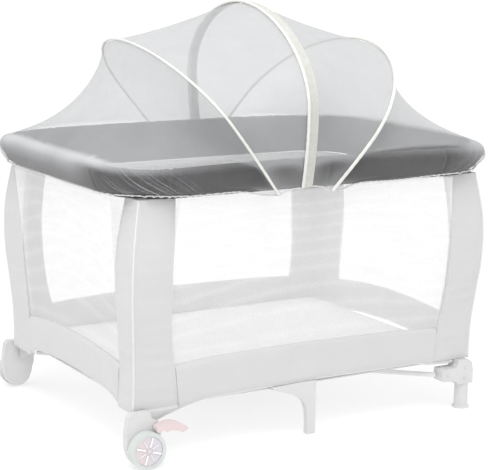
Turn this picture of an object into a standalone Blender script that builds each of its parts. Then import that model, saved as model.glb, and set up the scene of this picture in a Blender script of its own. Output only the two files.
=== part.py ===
"""A pop-up mosquito net on three hoops, drawn over the padded rails of a travel cot."""

import math

import bpy
import numpy as np

# Padded rail: a ring whose section is an upper roll tapering to a lower one, over an inner flange
RAIL_HALF_LENGTH = 0.518
RAIL_HALF_WIDTH = 0.391
RAIL_CORNER = 0.14
RAIL_RADIUS = 0.020
RAIL_TOP = 0.685
RAIL_BOTTOM = 0.6125
RAIL_CORNER_DIP = 0.012
LOWER_RADIUS = 0.0165
LOWER_STRAIGHT = (-0.006, 0.634)
LOWER_CORNER = (-0.012, 0.640)
SKIRT_DEPTH = 0.0325
SEAM_GAP = 0.0006

# Net
NET_THICKNESS = 0.002
HEM_THICKNESS = 0.0036
NET_OFFSET = 0.0245
HEM_STRAIGHT = (0.008, 0.6182)
HEM_CORNER = (-0.002, 0.6214)
ROWS = 44
GORE_COLUMNS = (0.0, 0.018, 0.05, 0.085, 0.12, 0.155, 0.2, 0.27, 0.37, 0.5, 0.65, 0.82, 1.0)
MIDDLE_COLUMNS = (0.0, 0.25, 0.5, 0.75, 1.0)
TAPE_COLUMNS = (0.0, 0.33, 0.67, 1.0)
CHORD_DEPTH = 0.0006
ROW_PULL = 0.55

# Hoops, each as near foot x, far foot x, foot z, height, lean in degrees, leg, roundness and bulge
CASING_RADIUS = 0.0036
CENTRE_RADIUS = 0.004
HOOP_GAP = 0.0008
LEFT_HOOP = (-0.146, 0.018, 0.607, 0.427, -39.2, 0.22, 2.0, 0.035)
CENTRE_HOOP = (-0.083, 0.096, 0.619, 0.408, -1.6, 0.193, 1.87, 0.042)
RIGHT_HOOP = (-0.002, 0.1535, 0.607, 0.4234, 41.0, 0.153, 2.035, 0.018)
TAPE_WIDTH = 0.022
TAPE_THICKNESS = 0.0022
TAPE_GAP = 0.0005

# Posts and panels
POST_BOTTOM = 0.1295
POST_TOP = 0.6105
POST_TOP_FAR_RIGHT = 0.5775
SLEEVE = 0.016
PIPING = 0.0035
BAND_THICKNESS = 0.014
BAND_Y = 0.345
BAND_X = 0.476
MESH_THICKNESS = 0.0015
MESH_TOP = 0.6085
PANEL_GAP = 0.001

# Base
MATTRESS_HALF = (0.448, 0.330)
MATTRESS_Z = (0.1185, 0.1560)
MATTRESS_CORNER = 0.035
TUBE_Z = 0.094
TUBE_RADIUS = 0.006

# Wheels and brake pedals
WHEEL_RADIUS = 0.0437
WHEEL_X = -0.465
WHEEL_FACE_Y = 0.3745
WHEEL_WIDTH = 0.022
DISC_RADIUS = 0.0345
AXLE_RADIUS = 0.0045
HOUSING_Y = (0.3535, 0.3735)
PEDAL_PIVOT = (-0.436, 0.0917)
PEDAL_PIN_RADIUS = 0.003
RUNNING_GAP = 0.0005

COLOURS = {
    "net_white": (0.86, 0.87, 0.88, 0.45),
    "hoop_binding": (0.90, 0.90, 0.87, 1.0),
    "zip_tape": (0.84, 0.84, 0.80, 1.0),
    "rail_grey": (0.20, 0.20, 0.21, 1.0),
    "cot_fabric_pale": (0.74, 0.74, 0.74, 1.0),
    "mesh_pale": (0.90, 0.90, 0.90, 0.55),
    "mattress_white": (0.88, 0.88, 0.88, 1.0),
    "plastic_pale": (0.76, 0.76, 0.76, 1.0),
    "tube_pale": (0.80, 0.80, 0.80, 1.0),
    "tyre_pale": (0.72, 0.74, 0.73, 1.0),
    "disc_pink": (0.88, 0.80, 0.84, 1.0),
    "pedal_pink": (0.93, 0.78, 0.80, 1.0),
}
FABRICS = {
    "net_white", "hoop_binding", "zip_tape", "rail_grey", "cot_fabric_pale", "mesh_pale", "mattress_white",
}


def clear_scene():
    for thing in list(bpy.data.objects):
        bpy.data.objects.remove(thing, do_unlink=True)


def material(node, slot):
    """The node's own material, in the colour of its slot."""
    made = bpy.data.materials.new(node + "_material")
    made.use_nodes = True
    shader = made.node_tree.nodes["Principled BSDF"]
    shader.inputs["Base Color"].default_value = COLOURS[slot]
    shader.inputs["Alpha"].default_value = COLOURS[slot][3]
    shader.inputs["Roughness"].default_value = 0.85 if slot in FABRICS else 0.45
    made.diffuse_color = COLOURS[slot]
    return made


def add_mesh(name, points, faces, slot, smooth_angle=50.0):
    """One closed body. Its edges stay sharp above the smooth angle."""
    mesh = bpy.data.meshes.new(name)
    mesh.from_pydata([tuple(map(float, p)) for p in points], [], [tuple(map(int, f)) for f in faces])
    mesh.validate()
    mesh.update()
    body = bpy.data.objects.new(name, mesh)
    bpy.context.scene.collection.objects.link(body)
    mesh.materials.append(material(name, slot))
    for face in mesh.polygons:
        face.use_smooth = True
    mesh.set_sharp_from_angle(angle=math.radians(smooth_angle))
    return body


def smooth_step(value, low, high):
    t = np.clip((value - low) / (high - low), 0.0, 1.0)
    return t * t * (3.0 - 2.0 * t)


# Rail ring


def ring_length():
    straight = 4 * (RAIL_HALF_LENGTH - RAIL_CORNER) + 4 * (RAIL_HALF_WIDTH - RAIL_CORNER)
    return straight + 2 * math.pi * RAIL_CORNER


def ring_frame(distance):
    """Plan point and outward normal of the ring, clockwise from above, from the middle of the near rail."""
    half_x = RAIL_HALF_LENGTH - RAIL_CORNER
    half_y = RAIL_HALF_WIDTH - RAIL_CORNER
    arc = RAIL_CORNER * math.pi / 2
    runs = (half_x, arc, 2 * half_y, arc, 2 * half_x, arc, 2 * half_y, arc, half_x)
    left = distance % ring_length()
    index = 0
    while left > runs[index] and index < 8:
        left -= runs[index]
        index += 1
    quarter = (index // 2) % 4
    if index % 2:
        centres = ((-half_x, -half_y), (-half_x, half_y), (half_x, half_y), (half_x, -half_y))
        centre = np.array(centres[index // 2])
        angle = -math.pi / 2 - (index // 2) * math.pi / 2 - left / RAIL_CORNER
        normal = np.array((math.cos(angle), math.sin(angle)))
        return centre + RAIL_CORNER * normal, normal
    if quarter == 0:
        x = -left if index == 0 else half_x - left
        return np.array((x, -RAIL_HALF_WIDTH)), np.array((0.0, -1.0))
    if quarter == 1:
        return np.array((-RAIL_HALF_LENGTH, left - half_y)), np.array((-1.0, 0.0))
    if quarter == 2:
        return np.array((left - half_x, RAIL_HALF_WIDTH)), np.array((0.0, 1.0))
    return np.array((RAIL_HALF_LENGTH, half_y - left)), np.array((1.0, 0.0))


def ring_near(x):
    """Distance along the ring of the near rail's point at x."""
    return -x


def ring_far(x):
    return ring_length() / 2 + x


def corner_share(x, y):
    """How far round a corner a plan point lies, from 0 on the straights towards a half at 45 degrees."""
    lengthwise = np.clip(np.abs(x) / RAIL_HALF_LENGTH, 0, 1) ** 4
    crosswise = np.clip(np.abs(y) / RAIL_HALF_WIDTH, 0, 1) ** 4
    return lengthwise * crosswise


def corner_dip(x, y):
    """How far the rail's top sags towards its corners."""
    return RAIL_CORNER_DIP * corner_share(x, y)


def rounding(x, y):
    """From 0 where the rail is straight to 1 at the corners, where its lower roll tucks in."""
    return np.clip(2.2 * corner_share(x, y), 0.0, 1.0)


def between(straight, corner, share):
    return straight + (corner - straight) * share


def lower_roll(x, y):
    """Middle (out, z) of the rail's lower roll."""
    share = rounding(x, y)
    out = between(LOWER_STRAIGHT[0], LOWER_CORNER[0], share)
    return out, between(LOWER_STRAIGHT[1], LOWER_CORNER[1], share)


def rail_section(skirt, x, y):
    """Closed outline (out, z) of the padded rail, with the inner skirt's lower edge."""
    top = RAIL_TOP - RAIL_RADIUS - corner_dip(x, y)
    outline = []
    for angle in (-15, 0, 30, 60, 90, 120, 150, 180):
        turn = math.radians(angle)
        outline.append((RAIL_RADIUS * math.cos(turn), top + RAIL_RADIUS * math.sin(turn)))
    outline.append((-RAIL_RADIUS, RAIL_BOTTOM + 0.004))
    outline.append((-RAIL_RADIUS + 0.0015, RAIL_BOTTOM - skirt))
    outline.append((-RAIL_RADIUS + 0.0045, RAIL_BOTTOM - skirt))
    outline.append((-RAIL_RADIUS + 0.0050, RAIL_BOTTOM))
    out, low = lower_roll(x, y)
    for angle in (-97, -60, -20):
        turn = math.radians(angle)
        outline.append((out + LOWER_RADIUS * math.cos(turn), low + LOWER_RADIUS * math.sin(turn)))
    return outline


def rail_piece(name, start, end, steps, skirted):
    """A length of the rail between two distances along the ring."""
    rings = []
    for step in range(steps + 1):
        distance = start + SEAM_GAP / 2 + (end - start - SEAM_GAP) * step / steps
        centre, normal = ring_frame(distance)
        inner = 0 < step < steps
        skirt = SKIRT_DEPTH if skirted and inner else 0.0005
        rings.append([(*(centre + normal * out), z) for out, z in rail_section(skirt, *centre)])
    add_loft(name, rings, "rail_grey")


def add_loft(name, rings, slot, smooth_angle=50.0):
    """A closed body through equal rings of points, with flat ends, turned outwards."""
    count = len(rings[0])
    points = [p for ring in rings for p in ring]
    faces = []
    for row in range(len(rings) - 1):
        for k in range(count):
            a = row * count + k
            b = row * count + (k + 1) % count
            faces.append((a, b, b + count, a + count))
    faces.append(tuple(range(count))[::-1])
    faces.append(tuple((len(rings) - 1) * count + k for k in range(count)))
    points = np.array(points, float)
    if signed_volume(points, faces) < 0:
        faces = [face[::-1] for face in faces]
    return add_mesh(name, points, faces, slot, smooth_angle)


def signed_volume(points, faces):
    total = 0.0
    for face in faces:
        for k in range(1, len(face) - 1):
            total += np.dot(points[face[0]], np.cross(points[face[k]], points[face[k + 1]]))
    return total / 6.0


def build_rails():
    half = ring_length() / 2
    side = RAIL_HALF_WIDTH - RAIL_CORNER
    left = half / 2
    rail_piece("rail_near_left", ring_near(0.0), ring_near(-0.408), 6, False)
    rail_piece("rail_near_right", ring_near(0.341), ring_near(0.0), 6, False)
    rail_piece("rail_corner_near_left", ring_near(-0.408), left - side, 8, False)
    rail_piece("rail_left", left - side, left + side, 6, False)
    rail_piece("rail_corner_far_left", left + side, ring_far(-0.341), 8, False)
    rail_piece("rail_far", ring_far(-0.341), ring_far(0.341), 8, True)
    rail_piece("rail_corner_far_right", ring_far(0.341), half + left - side, 8, True)
    rail_piece("rail_right", half + left - side, half + left + side, 6, True)
    rail_piece("rail_corner_near_right", half + left + side, ring_length() - 0.341, 8, False)


# Hoops


def arch(half_span, height, leg, power, bulge):
    """Evenly spaced points (along, up) of a hoop in its own plane. Its legs spread above the feet."""
    low = np.linspace(0.0, leg, 60, endpoint=False)
    spread = half_span + bulge * np.sin(low / leg * math.pi / 2)
    angle = np.linspace(0.0, math.pi, 1441)
    turn = np.sign(np.cos(angle)) * np.abs(np.cos(angle)) ** (2.0 / power)
    along = np.concatenate([-spread, -(half_span + bulge) * turn, spread[::-1]])
    rise = leg + (height - leg) * np.sin(angle).clip(0) ** (2.0 / power)
    up = np.concatenate([low, rise, low[::-1]])
    length = np.concatenate([[0.0], np.cumsum(np.hypot(np.diff(along), np.diff(up)))])
    even = np.linspace(0.0, length[-1], ROWS + 1)
    return np.interp(even, length, along), np.interp(even, length, up)


def hoop_curve(shape, radius):
    """The hoop's centre line, and the inward and the sideways direction at each of its points."""
    near_x, far_x, foot_z, height, lean_deg, leg, power, bulge = shape
    reach = RAIL_HALF_WIDTH + NET_OFFSET + NET_THICKNESS / 2 + HOOP_GAP + radius
    near = np.array((near_x, -reach, foot_z))
    far = np.array((far_x, reach, foot_z))
    along_axis = (far - near) / np.linalg.norm(far - near)
    lean = math.radians(lean_deg)
    up_axis = np.array((math.sin(lean), 0.0, math.cos(lean)))
    along, up = arch(np.linalg.norm(far - near) / 2, height, leg, power, bulge)
    centre = (near + far) / 2
    line = centre + np.outer(along, along_axis) + np.outer(up, up_axis)
    tangent = np.gradient(line, axis=0)
    tangent /= np.linalg.norm(tangent, axis=1)[:, None]
    side = np.array((1.0, 0.0, 0.0)) - tangent * tangent[:, :1]
    side /= np.linalg.norm(side, axis=1)[:, None]
    return line, np.cross(tangent, side), side


def under(curve, radius, shift=0.0):
    """The net's middle surface under a hoop, moved sideways by shift."""
    line, inward, side = curve
    return line + inward * (radius + HOOP_GAP + NET_THICKNESS / 2) + side * shift


def add_hoop(name, curve, radius, sides):
    rings = []
    for point, inward, side in zip(*curve):
        ring = []
        for k in range(sides):
            turn = 2 * math.pi * k / sides
            ring.append(point + radius * (math.cos(turn) * inward + math.sin(turn) * side))
        rings.append(ring)
    add_loft(name, rings, "hoop_binding")


def add_tape(curve):
    """The zip tape, lying on the net beside the centre hoop."""
    low = CENTRE_RADIUS + TAPE_GAP
    rings = []
    for point, inward, side in zip(*curve):
        ring = []
        for across, depth in ((0, 0), (1, 0), (1, 1), (0, 1)):
            sideways = side * (low + across * TAPE_WIDTH)
            ring.append(point + sideways + inward * (CENTRE_RADIUS - depth * TAPE_THICKNESS))
        rings.append(ring)
    add_loft("zip_tape", rings, "zip_tape", 40.0)


# Net


def hem_ripple(distance):
    """Uneven gathers of the elastic hem, strongest at the corners."""
    centre, _ = ring_frame(distance)
    corner = corner_share(*centre)
    wave = 0.55 * math.sin(distance * 47.0) + 0.45 * math.sin(distance * 83.0 + 1.3)
    return (0.0006 + 0.0012 * corner) * (1.0 + wave)


def hem_point(distance, rise, foot):
    """A point of the gathered hem. The gathers die away at a hoop's foot, given as (weight, out, z)."""
    centre, normal = ring_frame(distance)
    share = rounding(*centre)
    weight, foot_out, foot_z = foot
    out = between(HEM_STRAIGHT[0], HEM_CORNER[0], share) + hem_ripple(distance) + rise
    wave = 0.0014 * math.sin(distance * 9.0 + 0.6) + 0.0009 * math.sin(distance * 31.0)
    height = between(HEM_STRAIGHT[1], HEM_CORNER[1], share) + wave + rise
    out = between(out, foot_out, weight)
    height = between(height, foot_z + rise, weight)
    return np.array((*(centre + normal * out), height))


def push_off_rail(points, clearance):
    """Moves points too near the padded rail straight out of it, given their distance from the upper roll."""
    half = np.array((RAIL_HALF_LENGTH - RAIL_CORNER, RAIL_HALF_WIDTH - RAIL_CORNER))
    plan = points[..., :2]
    beyond = np.abs(plan) - half
    outside = np.maximum(beyond, 0.0)
    reach = np.linalg.norm(outside, axis=-1)
    out = reach + np.minimum(beyond.max(axis=-1), 0.0) - RAIL_CORNER
    unit = np.where(reach[..., None] > 0, outside / np.maximum(reach, 1e-9)[..., None], 0.0)
    widest = (beyond == beyond.max(axis=-1, keepdims=True)).astype(float)
    unit = np.where(reach[..., None] > 0, unit, widest) * np.sign(plan)
    top = RAIL_TOP - RAIL_RADIUS - corner_dip(plan[..., 0], plan[..., 1])
    low_out, low = lower_roll(plan[..., 0], plan[..., 1])
    fall = top - low
    share = np.clip((out * low_out + (top - points[..., 2]) * fall) / (low_out**2 + fall**2), 0.0, 1.0)
    away = out - share * low_out
    rise = points[..., 2] - top + share * fall
    distance = np.maximum(np.hypot(away, rise), 1e-6)
    needed = clearance + share * (LOWER_RADIUS - RAIL_RADIUS)
    short = np.maximum(needed - distance, 0.0) / distance
    moved = points.copy()
    moved[..., :2] += unit * (away * short)[..., None]
    moved[..., 2] += rise * short
    return moved


def relax(grid, fixed, columns, across_length, along_length):
    """Pulls the free points of a gore taut between its fixed ones, over the rail."""
    step = np.diff(columns)
    row_step = 1.0 / (grid.shape[0] - 1)
    across = (row_step * along_length) / (step * across_length)
    cell = np.zeros(len(columns))
    cell[:-1] += step / 2
    cell[1:] += step / 2
    along = ROW_PULL * cell * across_length / (row_step * along_length)
    weight_left = across[:-1][None, :, None]
    weight_right = across[1:][None, :, None]
    weight_row = along[1:-1][None, :, None]
    total = weight_left + weight_right + 2 * weight_row
    free = ~fixed[1:-1, 1:-1][..., None]
    for turn in range(2400):
        mean = grid[1:-1, 1:-1]
        if turn < 2200:
            mean = weight_left * grid[1:-1, :-2] + weight_right * grid[1:-1, 2:]
            mean = (mean + weight_row * (grid[:-2, 1:-1] + grid[2:, 1:-1])) / total
        mean = push_off_rail(mean, NET_OFFSET) + chord_push(grid)[1:-1, 1:-1]
        grid[1:-1, 1:-1] = np.where(free, mean, grid[1:-1, 1:-1])
    return grid


def chord_push(grid):
    """How far each point must move so that the flats between points also clear the rail."""
    shift = np.zeros_like(grid)
    clear = NET_OFFSET - CHORD_DEPTH
    for share in (0.3, 0.5, 0.7):
        middle = grid[:, :-1] * (1 - share) + grid[:, 1:] * share
        moved = push_off_rail(middle, clear) - middle
        shift[:, :-1] += moved * (1 - share)
        shift[:, 1:] += moved * share
        middle = grid[:-1, :-1] * (1 - share) + grid[1:, 1:] * share
        moved = push_off_rail(middle, clear) - middle
        shift[:-1, :-1] += moved * (1 - share)
        shift[1:, 1:] += moved * share
        middle = grid[1:, :-1] * (1 - share) + grid[:-1, 1:] * share
        moved = push_off_rail(middle, clear) - middle
        shift[1:, :-1] += moved * (1 - share)
        shift[:-1, 1:] += moved * share
    return shift * 0.4


def end_gore(hoop, hem_start, hem_end):
    """The gore from the hem round one end of the cot to a side hoop."""
    columns = np.array(GORE_COLUMNS)
    grid = np.zeros((ROWS + 1, len(columns), 3))
    for row in range(ROWS + 1):
        share = row / ROWS
        distance = hem_start + (hem_end - hem_start) * share
        weight = 1.0 - smooth_step(min(share, 1.0 - share), 0.0, 0.07)
        foot = (weight, NET_OFFSET, hoop[0][2])
        centre, normal = ring_frame(distance)
        dip = corner_dip(*centre)
        shoulder = np.array((*(centre + normal * NET_OFFSET), RAIL_TOP - RAIL_RADIUS - dip))
        crest = np.array((*centre, RAIL_TOP + NET_OFFSET - RAIL_RADIUS - dip))
        over = smooth_step(min(share, 1.0 - share), 0.02, 0.12)
        hem = hem_point(distance, 0.0, foot)
        straight = hem + (hoop[row] - hem) * 0.34
        over_shoulder = straight + (shoulder - straight) * over
        over_crest = straight + (crest - straight) * over
        path = np.array((hem, over_shoulder, over_crest, hoop[row]))
        length = np.concatenate([[0.0], np.cumsum(np.linalg.norm(np.diff(path, axis=0), axis=1))])
        for axis in range(3):
            grid[row, :, axis] = np.interp(columns * length[-1], length, path[:, axis])
        grid[row, 1] = between(hem_point(distance, 0.011 * (1.0 - weight), foot), grid[row, 1], weight)
    grid[0] = hoop[0]
    grid[-1] = hoop[-1]
    fixed = np.zeros(grid.shape[:2], bool)
    fixed[:, 1] = True
    return relax(grid, fixed, columns, 0.6, 1.3)


def between_gore(first, second, shares):
    """The gore between two hoops, with its hem on the near and the far rail."""
    columns = np.array(shares)
    grid = first[:, None] * (1 - columns)[None, :, None] + second[:, None] * columns[None, :, None]
    for row in (0, -1):
        for column in range(1, len(columns) - 1):
            lift = 4 * columns[column] * (1 - columns[column])
            grid[row, column, 2] += 0.004 * lift
            grid[row, column, 1] = math.copysign(RAIL_HALF_WIDTH + NET_OFFSET, grid[row, column, 1])
    fixed = np.zeros(grid.shape[:2], bool)
    span = np.linalg.norm(first - second, axis=1).mean()
    return relax(grid, fixed, columns, span, 1.2)


class Surface:
    """A sheet of points and faces that grows gore by gore."""

    def __init__(self):
        self.points = []
        self.faces = []

    def column(self, positions):
        start = len(self.points)
        self.points.extend(positions)
        return list(range(start, start + len(positions)))

    def join(self, left, right):
        for row in range(len(left) - 1):
            corners = (left[row], right[row], right[row + 1], left[row + 1])
            face = tuple(dict.fromkeys(corners))
            if len(face) > 2:
                self.faces.append(face)


def net_surface(curves):
    """The whole net as one sheet: (points, faces), the hem's points marked."""
    left, centre, right = curves
    half = ring_length() / 2
    left_line = under(left, CASING_RADIUS)
    right_line = under(right, CASING_RADIUS)
    centre_line = under(centre, CENTRE_RADIUS)
    tape_line = under(centre, CENTRE_RADIUS, CENTRE_RADIUS + TAPE_GAP + TAPE_WIDTH)
    gore_left = end_gore(left_line, ring_near(left[0][0][0]), ring_far(left[0][-1][0]))
    gore_right = end_gore(right_line, ring_near(right[0][0][0]) + 2 * half, ring_far(right[0][-1][0]))
    gore_middle = between_gore(left_line, centre_line, MIDDLE_COLUMNS)
    gore_tape = between_gore(tape_line, right_line, TAPE_COLUMNS)
    sheet = Surface()
    hem = set()
    line_left = sheet.column(left_line)
    line_centre = sheet.column(centre_line)
    line_tape = sheet.column(tape_line)
    line_right = sheet.column(right_line)

    def end_columns(gore, hoop):
        made = []
        for column in range(gore.shape[1] - 1):
            inner = sheet.column(gore[1:-1, column])
            if column == 0:
                hem.update(inner[1:-1])
            made.append([hoop[0], *inner, hoop[-1]])
        made.append(hoop)
        return made

    def middle_columns(gore, first, last):
        made = [first]
        for column in range(1, gore.shape[1] - 1):
            inner = sheet.column(gore[:, column])
            hem.update((inner[0], inner[-1]))
            made.append(inner)
        made.append(last)
        return made

    strips = end_columns(gore_left, line_left)
    strips += middle_columns(gore_middle, line_left, line_centre)[1:]
    strips += middle_columns(gore_tape, line_tape, line_right)
    strips += end_columns(gore_right, line_right)[::-1][1:]
    for first, second in zip(strips, strips[1:]):
        sheet.join(first, second)
    return np.array(sheet.points), sheet.faces, hem


def vertex_normals(points, faces):
    normals = np.zeros_like(points)
    for face in faces:
        for k in range(1, len(face) - 1):
            corner = (face[0], face[k], face[k + 1])
            a, b, c = points[list(corner)]
            area = np.cross(b - a, c - a)
            for index in corner:
                normals[index] += area
    return normals / np.linalg.norm(normals, axis=1)[:, None]


def thicken(points, faces, hem):
    """A closed shell round a sheet, thicker along the hem."""
    normals = vertex_normals(points, faces)
    half = np.full(len(points), NET_THICKNESS / 2)
    half[list(hem)] = HEM_THICKNESS / 2
    count = len(points)
    shell_points = np.concatenate([points + normals * half[:, None], points - normals * half[:, None]])
    edges = {}
    shell = []
    for face in faces:
        shell.append(face)
        shell.append(tuple(index + count for index in face[::-1]))
        for k, index in enumerate(face):
            edges[(index, face[(k + 1) % len(face)])] = True
    for start, end in edges:
        if (end, start) not in edges:
            shell.append((end, start, start + count, end + count))
    if signed_volume(shell_points, shell) < 0:
        shell = [face[::-1] for face in shell]
    return shell_points, shell


def triangulated(faces):
    """Each face as triangles from its first corner, so that the bent quads match in every reader."""
    made = []
    for face in faces:
        for k in range(1, len(face) - 1):
            made.append((face[0], face[k], face[k + 1]))
    return made


def build_canopy():
    left = hoop_curve(LEFT_HOOP, CASING_RADIUS)
    centre = hoop_curve(CENTRE_HOOP, CENTRE_RADIUS)
    right = hoop_curve(RIGHT_HOOP, CASING_RADIUS)
    add_hoop("hoop_left", left, CASING_RADIUS, 8)
    add_hoop("hoop_centre", centre, CENTRE_RADIUS, 8)
    add_hoop("hoop_right", right, CASING_RADIUS, 8)
    add_tape(centre)
    points, faces, hem = net_surface((left, centre, right))
    shell_points, shell = thicken(points, faces, hem)
    add_mesh("net", shell_points, triangulated(shell), "net_white", 60.0)


# Cot frame

POST_HEIGHTS = (POST_BOTTOM, 0.20, 0.26, 0.32, 0.38, 0.44, 0.50, 0.55)
FLANGE_HEIGHTS = (0.13, 0.22, 0.27, 0.33, 0.45, 0.55, 0.60)


def post_bow(z):
    """How far a post bulges outwards at a height."""
    heights = (0.13, 0.19, 0.232, 0.274, 0.324, 0.374, 0.424, 0.465, 0.508, 0.551, 0.593)
    bulges = (0.0, 0.0008, 0.0026, 0.0062, 0.0108, 0.0158, 0.0178, 0.0176, 0.015, 0.009, 0.002)
    return float(np.interp(z, heights, bulges))


def post_corner(z):
    """The outer corner's distance from the middle along X and along Y."""
    share = (z - 0.13) / 0.47
    return 0.483 - 0.008 * share + post_bow(z), 0.349 + 0.0115 * share + post_bow(z)


def flange_x(z):
    """Distance from the middle of the post's inner edge on the long sides."""
    return float(np.interp(z, FLANGE_HEIGHTS, (0.366, 0.376, 0.386, 0.392, 0.394, 0.386, 0.381)))


def flange_y(z, far):
    """Distance from the middle of the post's inner edge on the short sides."""
    shape = (0.272, 0.281, 0.283, 0.284, 0.284, 0.289, 0.293)
    drop = 0.036 if far else 0.0
    return float(np.interp(z, FLANGE_HEIGHTS, shape)) - drop


def post_outline(z, far):
    """L-shaped outline of the sleeve in its own quarter, with the piping at the outer corner."""
    x, y = post_corner(z)
    inner_x = flange_x(z)
    inner_y = flange_y(z, far)
    bead = PIPING
    return [
        (inner_x, y),
        (x - 0.014, y),
        (x - 0.007, y - 0.0006),
        (x - 0.0035, y + bead * 0.3),
        (x + bead * 0.3, y + bead * 0.3),
        (x + bead * 0.3, y - 0.0035),
        (x - 0.0006, y - 0.007),
        (x, y - 0.014),
        (x, inner_y),
        (x - SLEEVE, inner_y),
        (x - SLEEVE, y - SLEEVE - 0.010),
        (x - SLEEVE - 0.010, y - SLEEVE),
        (inner_x, y - SLEEVE),
    ]


def build_posts():
    for side_x, word_x in ((-1, "left"), (1, "right")):
        for side_y, word_y in ((-1, "near"), (1, "far")):
            rings = []
            top = POST_TOP_FAR_RIGHT if side_x > 0 and side_y > 0 else POST_TOP
            for z in (*POST_HEIGHTS, top):
                outline = post_outline(z, side_y > 0)
                rings.append([(side_x * x, side_y * y, z) for x, y in outline])
            add_loft("post_" + word_y + "_" + word_x, rings, "cot_fabric_pale", 35.0)


def extrude(name, outline, origin, across, up, normal, thickness, slot, smooth_angle=35.0):
    """A flat plate: an outline in its own plane, extruded by half its thickness each way."""
    outline = np.array(outline, float)
    middle = np.array(origin, float) + np.outer(outline[:, 0], across) + np.outer(outline[:, 1], up)
    shift = np.array(normal, float) * thickness / 2
    return add_loft(name, [middle - shift, middle + shift], slot, smooth_angle)


LONG_BAND_TOP = (
    (-0.372, 0.219), (-0.30, 0.2255), (-0.20, 0.2295), (-0.07, 0.2305),
    (0.07, 0.2285), (0.20, 0.226), (0.30, 0.2225), (0.372, 0.217),
)
LONG_BAND_BOTTOM = (
    (0.43, 0.1225), (0.352, 0.1262), (0.320, 0.1345), (0.226, 0.1345), (0.031, 0.1365),
    (-0.125, 0.1345), (-0.241, 0.1325), (-0.294, 0.131), (-0.345, 0.121), (-0.40, 0.106), (-0.466, 0.082),
)
SHORT_BAND_TOP = (
    (-0.279, 0.2195), (-0.20, 0.229), (-0.10, 0.237), (0.0, 0.239),
    (0.10, 0.235), (0.18, 0.227), (0.243, 0.218),
)
SHORT_BAND_BOTTOM = (
    (0.30, 0.1225), (0.226, 0.1262), (0.205, 0.1405), (0.125, 0.149), (0.0, 0.153),
    (-0.12, 0.149), (-0.22, 0.141), (-0.262, 0.1265), (-0.31, 0.1225),
)


def long_band(name, side_y):
    """The fabric band under a long mesh side. Its lower left corner reaches down to the wheel housing."""
    outline = [(x, z) for x, z in LONG_BAND_TOP]
    outline += [(0.364, POST_BOTTOM - PANEL_GAP), (0.43, POST_BOTTOM - PANEL_GAP)]
    outline += list(LONG_BAND_BOTTOM)
    outline += [(-0.466, POST_BOTTOM - PANEL_GAP), (-0.364, POST_BOTTOM - PANEL_GAP)]
    middle = (0, side_y * BAND_Y, 0)
    extrude(name, outline, middle, (1, 0, 0), (0, 0, 1), (0, 1, 0), BAND_THICKNESS, "cot_fabric_pale")


def short_band(name, side_x):
    """The fabric band under a short mesh side, arched along its lower edge."""
    outline = list(SHORT_BAND_TOP)
    outline += [(0.234, POST_BOTTOM - PANEL_GAP), (0.30, POST_BOTTOM - PANEL_GAP)]
    outline += list(SHORT_BAND_BOTTOM)
    outline += [(-0.31, POST_BOTTOM - PANEL_GAP), (-0.270, POST_BOTTOM - PANEL_GAP)]
    middle = (side_x * BAND_X, 0, 0)
    extrude(name, outline, middle, (0, 1, 0), (0, 0, 1), (1, 0, 0), BAND_THICKNESS, "cot_fabric_pale")


def mesh_panel(name, axis, side, out_low, out_high, z_low, z_high, edges, band_top):
    """A flat mesh side. It leans outwards from the band to the rail, and its sides follow the posts."""
    heights = (0.26, 0.32, 0.38, 0.45, 0.52, 0.57)
    low_edge, high_edge = edges
    outline = [(position, z + PANEL_GAP) for position, z in band_top]
    outline += [(high_edge(z) - PANEL_GAP, z) for z in (*heights, z_high)]
    outline += [(0.2, z_high + 0.003), (-0.2, z_high + 0.003)]
    outline += [(-(low_edge(z) - PANEL_GAP), z) for z in (z_high, *heights[::-1])]
    lean = (out_high - out_low) / (z_high - z_low)
    points = []
    for along, z in outline:
        out = out_low + lean * (z - z_low)
        points.append((along, side * out, z) if axis == "x" else (side * out, along, z))
    points = np.array(points)
    flat = np.array((0.0, side, -lean)) if axis == "x" else np.array((side, 0.0, -lean))
    shift = flat / np.linalg.norm(flat) * MESH_THICKNESS / 2
    add_loft(name, [points - shift, points + shift], "mesh_pale", 35.0)


def build_panels():
    for side_y, word in ((-1, "near"), (1, "far")):
        long_band("band_" + word, side_y)
        top = [(max(-0.371, min(0.371, x)), z) for x, z in LONG_BAND_TOP]
        mesh_panel("mesh_" + word, "x", side_y, BAND_Y, 0.383, 0.22, MESH_TOP, (flange_x, flange_x), top)
    short_top = ((-0.278, 0.2205), *SHORT_BAND_TOP[1:-1], (0.242, 0.2190))
    for side_x, word in ((-1, "left"), (1, "right")):
        short_band("band_" + word, side_x)
        edges = (lambda z: flange_y(z, False), lambda z: flange_y(z, True))
        mesh_panel("mesh_" + word, "y", side_x, BAND_X, 0.510, 0.22, MESH_TOP, edges, short_top)


def build_mattress():
    half_x, half_y = MATTRESS_HALF
    low, high = MATTRESS_Z
    section = ((0.006, low), (0.0, low + 0.006), (0.0, high - 0.007), (0.0025, high - 0.002), (0.008, high))
    rings = []
    for inset, z in section:
        ring = []
        for quarter in range(4):
            sign_x = (1, -1, -1, 1)[quarter]
            sign_y = (1, 1, -1, -1)[quarter]
            for step in range(4):
                angle = math.pi / 2 * (quarter + step / 3)
                x = sign_x * (half_x - MATTRESS_CORNER) + (MATTRESS_CORNER - inset) * math.cos(angle)
                y = sign_y * (half_y - MATTRESS_CORNER) + (MATTRESS_CORNER - inset) * math.sin(angle)
                ring.append((x, y, z))
        rings.append(ring)
    add_loft("mattress", rings, "mattress_white")


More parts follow.
